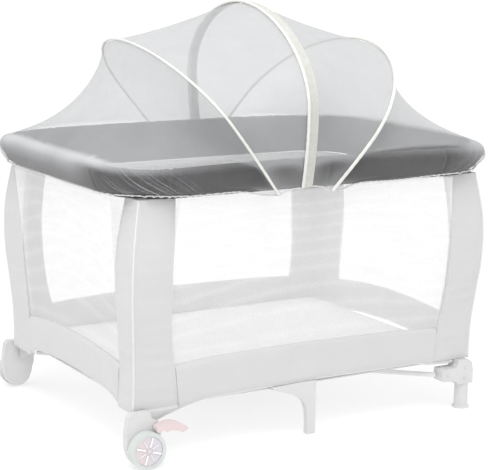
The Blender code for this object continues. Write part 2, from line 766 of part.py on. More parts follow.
def rod(name, start, end, radius, slot, sides=10):
    """A round bar between two points."""
    start = np.array(start, float)
    end = np.array(end, float)
    along = (end - start) / np.linalg.norm(end - start)
    helper = np.array((0.0, 0.0, 1.0)) if abs(along[2]) < 0.9 else np.array((1.0, 0.0, 0.0))
    first = np.cross(along, helper)
    first /= np.linalg.norm(first)
    second = np.cross(along, first)
    rings = []
    for point in (start, end):
        ring = []
        for k in range(sides):
            turn = 2 * math.pi * k / sides
            ring.append(point + radius * (math.cos(turn) * first + math.sin(turn) * second))
        rings.append(ring)
    return add_loft(name, rings, slot)


def turned(name, profile, centre, slot, sides=24):
    """A solid of revolution about a vertical axis, from (radius, z) pairs."""
    rings = []
    for radius, z in profile:
        ring = []
        for k in range(sides):
            turn = 2 * math.pi * k / sides
            ring.append((centre[0] + radius * math.cos(turn), centre[1] + radius * math.sin(turn), z))
        rings.append(ring)
    return add_loft(name, rings, slot, 40.0)


def boolean(body, other, operation):
    """Applies one exact Boolean and removes the other body."""
    step = body.modifiers.new(operation.lower(), "BOOLEAN")
    step.operation = operation
    step.solver = "EXACT"
    step.object = other
    bpy.context.view_layer.update()
    graph = bpy.context.evaluated_depsgraph_get()
    made = bpy.data.meshes.new_from_object(body.evaluated_get(graph))
    body.modifiers.clear()
    body.data = made
    bpy.data.objects.remove(other, do_unlink=True)


def build_base():
    turned("hub", ((0.030, 0.080), (0.034, 0.084), (0.034, 0.106), (0.030, 0.110)), (0, 0), "plastic_pale")
    corners = (
        ("far_right", 0.381, 0.344),
        ("far_left", -0.425, 0.330),
        ("near_left", -0.425, -0.330),
        ("near_right", 0.381, -0.344),
    )
    for word, x, y in corners:
        length = math.hypot(x, y)
        start = (0.036 * x / length, 0.036 * y / length, TUBE_Z)
        rod("base_tube_" + word, start, (x, y, TUBE_Z), TUBE_RADIUS, "tube_pale")


def centre_leg(name, side_y):
    """The folding leg under the middle of a long side, with its curved brace."""
    outline = [(0.010, 0.0), (0.010, 0.1335), (-0.030, 0.1335), (-0.112, 0.1315), (-0.112, 0.1245)]
    outline += [(-0.085, 0.116), (-0.055, 0.106), (-0.034, 0.095), (-0.021, 0.079)]
    outline += [(-0.0145, 0.058), (-0.013, 0.030), (-0.013, 0.0)]
    extrude(name, outline, (0, side_y * 0.345, 0), (1, 0, 0), (0, 0, 1), (0, 1, 0), 0.016, "plastic_pale")


def right_foot(word, side_y):
    """The corner casting over a plain foot, on the side without wheels."""
    block = [(0.438, 0.0655), (0.4845, 0.0655), (0.4845, 0.100), (0.480, 0.1205), (0.470, 0.1285)]
    block += [(0.4365, 0.1285), (0.4365, 0.119), (0.431, 0.111), (0.388, 0.111), (0.386, 0.108)]
    block += [(0.386, 0.082), (0.391, 0.078), (0.428, 0.076), (0.435, 0.072)]
    middle = (0, side_y * 0.3475, 0)
    extrude("casting_" + word, block, middle, (1, 0, 0), (0, 0, 1), (0, 1, 0), 0.036, "plastic_pale")
    profile = ((0.0225, 0.0), (0.0225, 0.003), (0.0175, 0.006), (0.0172, 0.065))
    turned("foot_" + word, profile, (0.4625, side_y * 0.3475), "plastic_pale")


def wheel_ring(name, y_from, y_to, inner, outer, slot, sides):
    """A flat ring about the wheel's axle."""
    profile = ((inner, y_from), (outer, y_from), (outer, y_to), (inner, y_to))
    count = len(profile)
    points = []
    for k in range(sides):
        turn = 2 * math.pi * k / sides
        for radius, y in profile:
            points.append((WHEEL_X + radius * math.cos(turn), y, WHEEL_RADIUS + radius * math.sin(turn)))
    faces = []
    for k in range(sides):
        for m in range(count):
            a = k * count + m
            b = k * count + (m + 1) % count
            c = ((k + 1) % sides) * count
            faces.append((a, b, c + (m + 1) % count, c + m))
    points = np.array(points)
    if signed_volume(points, faces) < 0:
        faces = [face[::-1] for face in faces]
    return add_mesh(name, points, faces, slot, 40.0)


def put_origin(body, origin):
    """Moves the body's origin onto its joint axis."""
    shift = np.array(origin)
    for vertex in body.data.vertices:
        vertex.co = tuple(np.array(vertex.co) - shift)
    body.location = tuple(origin)


def wheel_set(word, side_y):
    """The housing with its two pins, and the wheel and the brake pedal that turn on them."""
    pin_start = side_y * (HOUSING_Y[0] + 0.005)
    face = side_y * WHEEL_FACE_Y
    outer = side_y * (WHEEL_FACE_Y + WHEEL_WIDTH)
    axle_end = side_y * (WHEEL_FACE_Y + 0.0165)
    pin_x, pin_z = PEDAL_PIVOT
    pin_end = side_y * (WHEEL_FACE_Y + 0.014)
    profile = [(-0.4955, 0.1285), (-0.5035, 0.121), (-0.509, 0.085), (-0.5095, 0.052)]
    for angle in range(196, 331, 19):
        turn = math.radians(angle)
        profile.append((WHEEL_X - 0.004 + 0.037 * math.cos(turn), 0.0415 + 0.037 * math.sin(turn)))
    profile += [(-0.432, 0.045), (-0.4245, 0.066), (-0.4235, 0.090), (-0.430, 0.104)]
    profile += [(-0.446, 0.112), (-0.452, 0.1285)]
    middle = (0, side_y * (HOUSING_Y[0] + HOUSING_Y[1]) / 2, 0)
    depth = HOUSING_Y[1] - HOUSING_Y[0]
    axes = ((1, 0, 0), (0, 0, 1), (0, 1, 0))
    housing = extrude("wheel_housing_" + word, profile, middle, *axes, depth, "plastic_pale")
    axle = rod("axle", axle_point(pin_start), axle_point(axle_end), AXLE_RADIUS, "plastic_pale", 16)
    boolean(housing, axle, "UNION")
    pin_ends = ((pin_x, pin_start, pin_z), (pin_x, pin_end, pin_z))
    pin = rod("pin", *pin_ends, PEDAL_PIN_RADIUS, "plastic_pale", 12)
    boolean(housing, pin, "UNION")
    tyre = wheel_ring("tyre_" + word, face, outer, DISC_RADIUS, WHEEL_RADIUS, "tyre_pale", 40)
    plate_end = axle_point(outer - side_y * 0.002)
    plate = rod("wheel_disc_" + word, axle_point(face), plate_end, DISC_RADIUS - 0.0004, "disc_pink", 40)
    hole_ends = (axle_point(face - side_y * 0.004), axle_point(axle_end + side_y * 0.0008))
    hole = rod("hole", *hole_ends, AXLE_RADIUS + RUNNING_GAP, "disc_pink", 16)
    boolean(plate, hole, "DIFFERENCE")
    pedal = brake_pedal("brake_pedal_" + word, side_y)
    put_origin(tyre, axle_point((face + outer) / 2))
    put_origin(plate, axle_point((face + outer) / 2))
    put_origin(pedal, (pin_x, (face + outer) / 2, pin_z))


def axle_point(y):
    return WHEEL_X, y, WHEEL_RADIUS


def brake_pedal(name, side_y):
    """A bent lever on the pedal pin, with a rounded toe end."""
    x, z = PEDAL_PIVOT
    outline = []
    for angle in range(150, 331, 30):
        turn = math.radians(angle)
        outline.append((x + 0.0095 * math.cos(turn), z + 0.0095 * math.sin(turn)))
    outline += [(-0.4185, 0.0815), (-0.4044, 0.0837), (-0.3896, 0.0805), (-0.3781, 0.0758)]
    outline += [(-0.3698, 0.0768), (-0.3641, 0.0820), (-0.3665, 0.0865), (-0.3732, 0.0917)]
    outline += [(-0.3864, 0.0998), (-0.4028, 0.1050), (-0.4175, 0.1060), (-0.4320, 0.1035)]
    start = WHEEL_FACE_Y + 0.0005
    thickness = 0.019
    middle = (0, side_y * (start + thickness / 2), 0)
    pedal = extrude(name, outline, middle, (1, 0, 0), (0, 0, 1), (0, 1, 0), thickness, "pedal_pink")
    low = side_y * (start - 0.003)
    high = side_y * (WHEEL_FACE_Y + 0.0148)
    hole = rod("hole", (x, low, z), (x, high, z), PEDAL_PIN_RADIUS + RUNNING_GAP, "pedal_pink", 12)
    boolean(pedal, hole, "DIFFERENCE")
    return pedal


clear_scene()
build_rails()
build_canopy()
build_posts()
build_panels()
build_mattress()
build_base()
for side, name_end in ((-1, "near"), (1, "far")):
    centre_leg("centre_leg_" + name_end, side)
    right_foot(name_end + "_right", side)
    wheel_set(name_end, side)
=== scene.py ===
import math

import bpy
import numpy as np
from mathutils import Matrix, Vector


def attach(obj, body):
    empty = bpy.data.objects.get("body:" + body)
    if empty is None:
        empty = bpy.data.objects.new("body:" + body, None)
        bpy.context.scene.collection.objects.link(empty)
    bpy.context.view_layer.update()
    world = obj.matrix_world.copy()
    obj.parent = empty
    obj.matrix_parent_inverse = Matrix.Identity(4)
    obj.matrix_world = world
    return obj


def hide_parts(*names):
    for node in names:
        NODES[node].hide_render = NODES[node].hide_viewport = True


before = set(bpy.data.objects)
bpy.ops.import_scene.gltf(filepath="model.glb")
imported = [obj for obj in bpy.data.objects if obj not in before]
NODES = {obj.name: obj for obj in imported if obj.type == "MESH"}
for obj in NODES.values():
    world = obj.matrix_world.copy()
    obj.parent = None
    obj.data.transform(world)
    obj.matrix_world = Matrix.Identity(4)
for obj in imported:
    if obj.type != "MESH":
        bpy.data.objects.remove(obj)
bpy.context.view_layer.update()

# The camera, fitted to the photograph
CAMERA_AT = (-1.979, -3.3291, 1.1752)
CAMERA_YAW = 30.893
CAMERA_PITCH = 10.874
CAMERA_ROLL = 0.73
CAMERA_LENS = 113.19

# Padded rail, as in the source
RAIL_HALF_LENGTH = 0.518
RAIL_HALF_WIDTH = 0.391
RAIL_CORNER = 0.14
RAIL_RADIUS = 0.020
RAIL_TOP = 0.685
RAIL_BOTTOM = 0.6125
RAIL_CORNER_DIP = 0.012
LOWER_RADIUS = 0.0165
LOWER_STRAIGHT = (-0.006, 0.634)
LOWER_CORNER = (-0.012, 0.640)
SKIRT_DEPTH = 0.0325
SEAM = 0.341
LEFT_SEAM = -0.408

# Net and hoops, as in the source
NET_THICKNESS = 0.002
NET_OFFSET = 0.0245
HEM_STRAIGHT = (0.008, 0.6182)
HEM_CORNER = (-0.002, 0.6214)
ROWS = 44
GORE_COLUMNS = (0.0, 0.018, 0.05, 0.085, 0.12, 0.155, 0.2, 0.27, 0.37, 0.5, 0.65, 0.82, 1.0)
MIDDLE_COLUMNS = (0.0, 0.25, 0.5, 0.75, 1.0)
TAPE_COLUMNS = (0.0, 0.33, 0.67, 1.0)
ROW_PULL = 0.55
CASING_RADIUS = 0.0036
CENTRE_RADIUS = 0.004
HOOP_GAP = 0.0008
LEFT_HOOP = (-0.146, 0.018, 0.607, 0.427, -39.2, 0.22, 2.0, 0.035)
CENTRE_HOOP = (-0.083, 0.096, 0.619, 0.408, -1.6, 0.193, 1.87, 0.042)
RIGHT_HOOP = (-0.002, 0.1535, 0.607, 0.4234, 41.0, 0.153, 2.035, 0.018)
TAPE_WIDTH = 0.022
TAPE_GAP = 0.0005
RELAX_STEPS = 2200

# Posts, panels and base, as in the source
POST_BOTTOM = 0.1295
POST_TOP = 0.6105
POST_TOP_FAR_RIGHT = 0.5775
SLEEVE = 0.016
BAND_THICKNESS = 0.014
BAND_Y = 0.345
BAND_X = 0.476
LONG_INNER = (-0.366, 0.366)
SHORT_INNER = (-0.272, 0.236)
MESH_TOP = 0.6085
MESH_TOP_Y = 0.383
MESH_TOP_X = 0.510
MATTRESS_HALF = (0.448, 0.330)
MATTRESS_Z = (0.1185, 0.1560)
MATTRESS_CORNER = 0.035
WHEEL_RADIUS = 0.0437
WHEEL_X = -0.465
WHEEL_FACE_Y = 0.3745
WHEEL_WIDTH = 0.022
FLANGE_HEIGHTS = (0.13, 0.22, 0.27, 0.33, 0.45, 0.55, 0.60)
LONG_BAND_TOP = (
    (-0.372, 0.219), (-0.30, 0.2255), (-0.20, 0.2295), (-0.07, 0.2305),
    (0.07, 0.2285), (0.20, 0.226), (0.30, 0.2225), (0.372, 0.217),
)
LONG_BAND_BOTTOM = (
    (-0.466, 0.082), (-0.40, 0.106), (-0.345, 0.121), (-0.294, 0.131), (-0.241, 0.1325), (-0.125, 0.1345),
    (0.031, 0.1365), (0.226, 0.1345), (0.320, 0.1345), (0.352, 0.1262), (0.43, 0.1225),
)
SHORT_BAND_TOP = (
    (-0.279, 0.2195), (-0.20, 0.229), (-0.10, 0.237), (0.0, 0.239),
    (0.10, 0.235), (0.18, 0.227), (0.243, 0.218),
)
SHORT_BAND_BOTTOM = (
    (-0.31, 0.1225), (-0.262, 0.1265), (-0.22, 0.141), (-0.12, 0.149), (0.0, 0.153),
    (0.125, 0.149), (0.205, 0.1405), (0.226, 0.1262), (0.30, 0.1225),
)

# Each hoop's shape, its radius, and the radius of its slimmer sewn binding
HOOPS = {
    "left": (LEFT_HOOP, CASING_RADIUS, 0.0031),
    "centre": (CENTRE_HOOP, CENTRE_RADIUS, 0.0036),
    "right": (RIGHT_HOOP, CASING_RADIUS, 0.0040),
}
HOOP_STEPS = 360

# The finer net, and how much it covers where it hangs free, clings and crosses the crest
NET_CLEARANCE = 0.0224
FINE_ROWS = 560
FINE_GORE = 60
HEM_RADIUS = 0.0017
FREE_COVER = 0.50
CLING_COVER = 0.075
CREST_COVER = 0.13

# Small fittings: widths of rounded edges, profiles (radius, rise) and the tab's (z, half width, half depth)
MOULDED = {
    "casting_%s_right": 0.0022,
    "foot_%s_right": 0.0012,
    "centre_leg_%s": 0.0020,
    "wheel_housing_%s": 0.0016,
}
RIVET_Y = 0.3655
RIVET_PLACES = ((0.458, 0.108), (0.458, 0.082), (0.404, 0.095))
RIVET_PROFILE = ((0.0042, -0.0004), (0.0042, 0.0006), (0.0034, 0.0014), (0.0018, 0.0019), (0.0004, 0.002))
SPOKE_DEPTH = 0.0012
CAP_PROFILE = ((0.0056, -0.0018), (0.0056, 0.0004), (0.0048, 0.0012), (0.0026, 0.0016), (0.0006, 0.0017))
TAB_PLACE = (0.4952, 0.204)
TAB_LEVELS = ((0.618, 0.005, 0.0009), (0.6, 0.0052, 0.0013), (0.585, 0.005, 0.0013), (0.572, 0.0044, 0.0009))


def smooth_step(value, low, high):
    t = np.clip((value - low) / (high - low), 0.0, 1.0)
    return t * t * (3.0 - 2.0 * t)


def unit(vectors):
    return vectors / np.maximum(np.linalg.norm(vectors, axis=-1, keepdims=True), 1e-12)


def run_lengths(line):
    """How far along a line each of its points lies."""
    return np.concatenate([[0.0], np.cumsum(np.linalg.norm(np.diff(line, axis=0), axis=1))])


def placed(name, data):
    """A new object in the scene."""
    thing = bpy.data.objects.new(name, data)
    bpy.context.scene.collection.objects.link(thing)
    return thing


# Materials


class Nodes:
    """A material's node tree, with short calls to add and link nodes."""

    def __init__(self, name):
        self.material = bpy.data.materials.new(name)
        self.material.use_nodes = True
        self.tree = self.material.node_tree
        self.shader = self.tree.nodes["Principled BSDF"]
        self.place = self.add("ShaderNodeTexCoord").outputs["Object"]

    def add(self, kind, values=(), **settings):
        """A new node, with its settings and then its sockets' values."""
        node = self.tree.nodes.new(kind)
        for key, value in settings.items():
            setattr(node, key, value)
        for key, value in dict(values).items():
            node.inputs[key].default_value = value
        return node

    def link(self, source, target):
        self.tree.links.new(source, target)

    def math(self, operation, first, second=None):
        node = self.add("ShaderNodeMath", operation=operation)
        for slot_number, value in enumerate((first, second)):
            if value is None:
                continue
            if isinstance(value, (int, float)):
                node.inputs[slot_number].default_value = value
            else:
                self.link(value, node.inputs[slot_number])
        return node.outputs[0]

    def noise(self, scale, detail=2.0, stretch=None):
        node = self.add("ShaderNodeTexNoise", {"Scale": scale, "Detail": detail})
        self.link(self.stretched(stretch), node.inputs["Vector"])
        return node.outputs["Fac"]

    def stretched(self, stretch):
        if stretch is None:
            return self.place
        node = self.add("ShaderNodeMapping", {"Scale": stretch})
        self.link(self.place, node.inputs["Vector"])
        return node.outputs["Vector"]

    def bands(self, axis, pitch):
        """Threads across one axis, 0 to 1, a pitch apart."""
        scale = math.pi / (10.0 * pitch)
        node = self.add("ShaderNodeTexWave", {"Scale": scale}, bands_direction=axis)
        self.link(self.place, node.inputs["Vector"])
        return node.outputs["Fac"]

    def cells(self, **values):
        """Distance to the nearest edge of a pattern of small cells."""
        node = self.add("ShaderNodeTexVoronoi", values, feature="DISTANCE_TO_EDGE")
        self.link(self.place, node.inputs["Vector"])
        return node.outputs["Distance"]

    def ranged(self, source, *limits):
        """A value taken from one range (from, to) to another."""
        names = ("From Min", "From Max", "To Min", "To Max")
        node = self.add("ShaderNodeMapRange", zip(names, limits))
        self.link(source, node.inputs["Value"])
        return node.outputs["Result"]

    def weighed(self, first, first_weight, second, second_weight):
        first = self.math("MULTIPLY", first, first_weight)
        return self.math("ADD", first, self.math("MULTIPLY", second, second_weight))

    def attribute(self, name):
        return self.add("ShaderNodeAttribute", attribute_name=name).outputs["Fac"]

    def paint(self, factor, stops):
        """The base colour, along a ramp of (place, colour)."""
        node = self.add("ShaderNodeValToRGB")
        entries = node.color_ramp.elements
        while len(entries) < len(stops):
            entries.new(0.5)
        for entry, (at, colour) in zip(entries, stops):
            entry.position = at
            entry.color = (*colour, 1.0)
        self.link(factor, node.inputs["Fac"])
        self.link(node.outputs["Color"], self.shader.inputs["Base Color"])

    def roughen(self, factor, amount, least):
        rough = self.math("ADD", self.math("MULTIPLY", factor, amount), least)
        self.link(rough, self.shader.inputs["Roughness"])

    def bump(self, height, distance):
        node = self.add("ShaderNodeBump", {"Distance": distance, "Strength": 1.0})
        self.link(height, node.inputs["Height"])
        self.link(node.outputs["Normal"], self.shader.inputs["Normal"])

    def set(self, **values):
        for key, value in values.items():
            self.shader.inputs[key.replace("_", " ")].default_value = value


def tones(colour, spread, low, high):
    """A ramp from a darker to a lighter tone of a colour."""
    darker = tuple(max(0.0, c * (1.0 - spread)) for c in colour)
    lighter = tuple(min(1.0, c * (1.0 + spread)) for c in colour)
    return (low, darker), (high, lighter)


def cloth(name, colour, pitch, spread=0.06, blotch=14.0, depth=0.0002, sheen=0.15, axes="XZ"):
    """Woven cloth: threads both ways, a melange of fibres and soft wide shading."""
    made = Nodes(name)
    fibres = made.noise(1.6 / pitch, 2.0, (1.0, 1.0, 2.2))
    mixed = made.weighed(fibres, 0.72, made.noise(blotch, 3.0), 0.28)
    made.paint(mixed, tones(colour, spread, 0.36, 0.64))
    weave = made.math("ADD", made.bands(axes[0], pitch), made.bands(axes[1], pitch))
    made.bump(made.math("ADD", weave, fibres), depth)
    made.roughen(fibres, 0.16, 0.78)
    made.set(Sheen_Weight=sheen, Specular_IOR_Level=0.25)
    return made.material


def moulded(name, colour, roughness=0.42, spread=0.03, grain=1400.0):
    """Moulded plastic with a fine spark texture and slightly polished patches."""
    made = Nodes(name)
    wide = made.noise(22.0, 3.0)
    made.paint(wide, tones(colour, spread, 0.3, 0.7))
    made.bump(made.noise(grain, 2.0), 0.00012)
    made.roughen(wide, 0.18, roughness - 0.09)
    made.set(Specular_IOR_Level=0.35)
    return made.material


def pleat_lines(made):
    """Thin uneven lines of doubled net, along the gathers that the mesh says where to lay."""
    uneven = made.add("ShaderNodeTexNoise", {"Scale": 150.0, "Detail": 1.5}, noise_dimensions="1D")
    made.link(made.attribute("pleat_place"), uneven.inputs["W"])
    ridge = made.ranged(uneven.outputs["Fac"], 0.55, 0.74)
    return made.math("MULTIPLY", ridge, made.attribute("pleat_amount"))


def netting():
    """Sheer knitted net. Its density, where it clings or folds, is kept in the mesh, with painted shade over
    the rail's ends.
    """
    made = Nodes("net_sheer")
    wide = made.noise(9.0, 3.0)
    streaks = made.noise(240.0, 2.0, (1.0, 1.0, 0.12))
    knit = made.math("MULTIPLY", made.cells(Scale=620.0), -0.22)
    vary = made.math("ADD", made.math("ADD", made.weighed(wide, 0.10, streaks, 0.06), 0.965), knit)
    alpha = made.math("ADD", made.math("MULTIPLY", made.attribute("cover"), vary), pleat_lines(made))
    made.link(made.math("MINIMUM", alpha, 0.92), made.shader.inputs["Alpha"])
    made.paint(wide, ((0.3, (0.565, 0.57, 0.58)), (0.7, (0.60, 0.605, 0.615))))
    made.bump(streaks, 0.0003)
    made.set(Roughness=0.9, Specular_IOR_Level=0.1, Sheen_Weight=0.1)
    return made.material


def open_mesh():
    """The cot's knitted side mesh, with small round holes in offset rows."""
    made = Nodes("mesh_open")
    holes = made.cells(Scale=260.0, Randomness=0.25)
    made.link(made.ranged(holes, 0.05, 0.30, 0.50, 0.38), made.shader.inputs["Alpha"])
    made.paint(made.noise(12.0, 2.0), ((0.3, (0.93, 0.93, 0.93)), (0.7, (0.97, 0.97, 0.97))))
    made.bump(holes, 0.0004)
    made.set(Roughness=0.85, Specular_IOR_Level=0.15)
    return made.material


def tinted_disc():
    """Pearly pink plastic of the wheel disc, shading from rose to lilac across the wheel."""
    made = Nodes("disc_pearl")
    split = made.add("ShaderNodeSeparateXYZ")
    made.link(made.place, split.inputs["Vector"])
    across = made.math("MULTIPLY", made.math("SUBTRACT", split.outputs["X"], WHEEL_X), 12.0)
    shade = made.math("ADD", made.math("ADD", across, 0.5), made.math("MULTIPLY", made.noise(60.0), 0.12))
    stops = ((0.15, (0.70, 0.60, 0.60)), (0.55, (0.67, 0.62, 0.65)), (0.9, (0.64, 0.62, 0.68)))
    made.paint(shade, stops)
    made.bump(made.noise(900.0), 0.0001)
    made.roughen(made.noise(40.0), 0.15, 0.25)
    made.set(Coat_Weight=0.3, Coat_Roughness=0.15)
    return made.material


MATERIALS = {
    "net": netting(),
    "hem": cloth("net_hem_cloth", (0.70, 0.70, 0.69), 0.0012, 0.10, 60.0),
    "binding": cloth("hoop_binding_cloth", (0.84, 0.84, 0.80), 0.0010, 0.05, 40.0),
    "tape": cloth("zip_tape_cloth", (0.74, 0.74, 0.70), 0.0009, 0.08, 50.0, 0.0003),
    "zip": moulded("zip_teeth_plastic", (0.80, 0.80, 0.76), 0.4),
    "rail": cloth("rail_melange", (0.048, 0.048, 0.050), 0.0016, 0.34, 26.0, 0.0004, 0.25),
    "seam": cloth("rail_seam_cloth", (0.036, 0.036, 0.038), 0.0012, 0.2, 60.0),
    "cot": cloth("cot_cloth_pale", (0.69, 0.69, 0.69), 0.0011, 0.03, 12.0, 0.0002, 0.05),
    "lining": cloth("lining_cloth_pale", (0.70, 0.70, 0.70), 0.0013, 0.04, 30.0, 0.0002, 0.05),
    "piping": cloth("cot_piping_pale", (0.80, 0.80, 0.80), 0.0012, 0.03, 40.0),
    "mesh": open_mesh(),
    "mattress": cloth("mattress_cloth", (0.95, 0.95, 0.95), 0.0014, 0.02, 10.0, 0.0002, 0.05, "XY"),
    "plastic": moulded("plastic_pale", (0.65, 0.65, 0.65)),
    "tube": moulded("tube_painted", (0.72, 0.72, 0.72), 0.34, 0.03, 700.0),
    "tyre": moulded("tyre_rubber_pale", (0.62, 0.65, 0.635), 0.6, 0.04, 1000.0),
    "disc": tinted_disc(),
    "spoke": moulded("spoke_white", (0.93, 0.92, 0.93), 0.3),
    "pedal": moulded("pedal_pink", (0.70, 0.585, 0.59), 0.35, 0.05),
    "rivet": moulded("rivet_metal", (0.62, 0.62, 0.62), 0.3, 0.05, 500.0),
}


# Pieces


def add_piece(name, points, faces, material, slot, body="cot", replaced=(), smooth=40.0):
    """One named piece in its place, riding on its body."""
    mesh = bpy.data.meshes.new(name)
    mesh.from_pydata([tuple(map(float, p)) for p in points], [], [tuple(map(int, f)) for f in faces])
    mesh.validate()
    mesh.update()
    piece = placed(name, mesh)
    mesh.materials.append(MATERIALS[material])
    for face in mesh.polygons:
        face.use_smooth = True
    if smooth < 180.0:
        mesh.set_sharp_from_angle(angle=math.radians(smooth))
    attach(piece, body)
    if replaced:
        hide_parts(*replaced)
    return piece


def grid_faces(rows, columns, wrap=False):
    faces = []
    last = columns if wrap else columns - 1
    for row in range(rows - 1):
        for column in range(last):
            a = row * columns + column
            b = row * columns + (column + 1) % columns
            faces.append((a, b, b + columns, a + columns))
    return faces


def outward(points, faces):
    """The faces turned so that they face outwards."""
    total = 0.0
    for face in faces:
        first = points[face[0]]
        for k in range(1, len(face) - 1):
            total += np.dot(first, np.cross(points[face[k]], points[face[k + 1]]))
    return faces if total > 0 else [face[::-1] for face in faces]


def loft(name, rings, material, slot, **options):
    """A closed body through equal rings of points."""
    rings = np.array(rings, float)
    rows, columns = rings.shape[:2]
    points = rings.reshape(-1, 3)
    faces = grid_faces(rows, columns, True)
    faces.append(tuple(range(columns))[::-1])
    faces.append(tuple((rows - 1) * columns + k for k in range(columns)))
    return add_piece(name, points, outward(points, faces), material, slot, **options)


def frames_along(line, closed=False):
    """Tangent, side and up at each point of a line, with little twist."""
    if closed:
        tangent = unit(np.roll(line, -1, axis=0) - np.roll(line, 1, axis=0))
    else:
        tangent = unit(np.gradient(line, axis=0))
    side = np.zeros_like(line)
    start = np.array((0.0, 0.0, 1.0)) if abs(tangent[0][2]) < 0.9 else np.array((1.0, 0.0, 0.0))
    last = np.cross(tangent[0], start)
    for index, way in enumerate(tangent):
        last = last - way * np.dot(last, way)
        last = last / np.linalg.norm(last)
        side[index] = last
    return tangent, side, np.cross(tangent, side)


def tube(name, line, radii, sides, material, slot, closed=False, **options):
    """A round tube along a line, with a radius at each point."""
    line = np.array(line, float)
    radii = np.broadcast_to(np.asarray(radii, float), (len(line),))
    _, side, up = frames_along(line, closed)
    turn = 2 * math.pi * np.arange(sides) / sides
    around = np.cos(turn)[None, :, None] * side[:, None] + np.sin(turn)[None, :, None] * up[:, None]
    rings = line[:, None] + around * radii[:, None, None]
    if not closed:
        return loft(name, rings, material, slot, **options)
    rings = np.concatenate([rings, rings[:1]])
    points = rings[:-1].reshape(-1, 3)
    faces = [tuple(k % len(points) for k in face) for face in grid_faces(len(rings), sides, True)]
    return add_piece(name, points, outward(points, faces), material, slot, **options)


def cubic(values, knots, at):
    """Smooth values at new places along the first axis."""
    slope = np.gradient(values, knots, axis=0)
    index = np.clip(np.searchsorted(knots, at, side="right") - 1, 0, len(knots) - 2)
    shape = (-1,) + (1,) * (values.ndim - 1)
    step = (knots[index + 1] - knots[index]).reshape(shape)
    t = (at - knots[index]).reshape(shape) / step
    made = (2 * t**3 - 3 * t**2 + 1) * values[index] + (t**3 - 2 * t**2 + t) * step * slope[index]
    return made + (3 * t**2 - 2 * t**3) * values[index + 1] + (t**3 - t**2) * step * slope[index + 1]


def ripple(seed, places, count=24, low=20.0, high=90.0):
    """An uneven wave along a line, between about -1 and 1, the same for each seed."""
    draw = np.random.default_rng(seed)
    total = np.zeros_like(places)
    for _ in range(count):
        total += np.sin(places * draw.uniform(low, high) + draw.uniform(0, 2 * math.pi))
    return total / math.sqrt(count / 2)


# Rail ring, as in the source


def ring_length():
    straight = 4 * (RAIL_HALF_LENGTH - RAIL_CORNER) + 4 * (RAIL_HALF_WIDTH - RAIL_CORNER)
    return straight + 2 * math.pi * RAIL_CORNER


def ring_frame(distance):
    """Plan point and outward normal of the ring, clockwise from above, from the middle of the near rail."""
    halves = (RAIL_HALF_LENGTH - RAIL_CORNER, RAIL_HALF_WIDTH - RAIL_CORNER)
    arc = RAIL_CORNER * math.pi / 2
    left = distance % ring_length() + halves[0]
    quarter = 0
    while left > 2 * halves[quarter % 2] + arc:
        left -= 2 * halves[quarter % 2] + arc
        quarter += 1
    normal = np.array(((0.0, -1.0), (-1.0, 0.0), (0.0, 1.0), (1.0, 0.0))[quarter % 4])
    way = np.array((normal[1], -normal[0]))
    half, beside = halves[quarter % 2], halves[1 - quarter % 2]
    centre = normal * beside + way * (min(left, 2 * half) - half)
    turn = max(left - 2 * half, 0.0) / RAIL_CORNER
    normal = normal * math.cos(turn) + way * math.sin(turn)
    return centre + RAIL_CORNER * normal, normal


def ring_near(x):
    return -x


def ring_far(x):
    return ring_length() / 2 + x


def corner_share(x, y):
    """How far round a corner a plan point lies, from 0 on the straights towards a half at 45 degrees."""
    lengthwise = np.clip(np.abs(x) / RAIL_HALF_LENGTH, 0, 1) ** 4
    crosswise = np.clip(np.abs(y) / RAIL_HALF_WIDTH, 0, 1) ** 4
    return lengthwise * crosswise


def corner_dip(x, y):
    """How far the rail's top sags towards its corners."""
    return RAIL_CORNER_DIP * corner_share(x, y)


def rounding(x, y):
    """From 0 where the rail is straight to 1 at the corners, where its lower roll tucks in."""
    return np.clip(2.2 * corner_share(x, y), 0.0, 1.0)


def between(straight, corner, share):
    return straight + (corner - straight) * share


def lower_roll(x, y):
    """Middle (out, z) of the rail's lower roll."""
    share = rounding(x, y)
    out = between(LOWER_STRAIGHT[0], LOWER_CORNER[0], share)
    return out, between(LOWER_STRAIGHT[1], LOWER_CORNER[1], share)


# Hoops, as in the source


def arch(half_span, height, leg, power, bulge, count):
    """Evenly spaced points (along, up) of a hoop in its own plane."""
    low = np.linspace(0.0, leg, 60, endpoint=False)
    spread = half_span + bulge * np.sin(low / leg * math.pi / 2)
    angle = np.linspace(0.0, math.pi, 1441)
    turn = np.sign(np.cos(angle)) * np.abs(np.cos(angle)) ** (2.0 / power)
    along = np.concatenate([-spread, -(half_span + bulge) * turn, spread[::-1]])
    rise = leg + (height - leg) * np.sin(angle).clip(0) ** (2.0 / power)
    up = np.concatenate([low, rise, low[::-1]])
    length = np.concatenate([[0.0], np.cumsum(np.hypot(np.diff(along), np.diff(up)))])
    even = np.linspace(0.0, length[-1], count + 1)
    return np.interp(even, length, along), np.interp(even, length, up)


def hoop_curve(shape, radius, count=ROWS):
    """The hoop's centre line, and the inward and the sideways direction at each of its points."""
    near_x, far_x, foot_z, height, lean_deg, leg, power, bulge = shape
    reach = RAIL_HALF_WIDTH + NET_OFFSET + NET_THICKNESS / 2 + HOOP_GAP + radius
    near = np.array((near_x, -reach, foot_z))
    far = np.array((far_x, reach, foot_z))
    along_axis = (far - near) / np.linalg.norm(far - near)
    lean = math.radians(lean_deg)
    up_axis = np.array((math.sin(lean), 0.0, math.cos(lean)))
    along, up = arch(np.linalg.norm(far - near) / 2, height, leg, power, bulge, count)
    line = (near + far) / 2 + np.outer(along, along_axis) + np.outer(up, up_axis)
    tangent = unit(np.gradient(line, axis=0))
    side = unit(np.array((1.0, 0.0, 0.0)) - tangent * tangent[:, :1])
    return line, np.cross(tangent, side), side


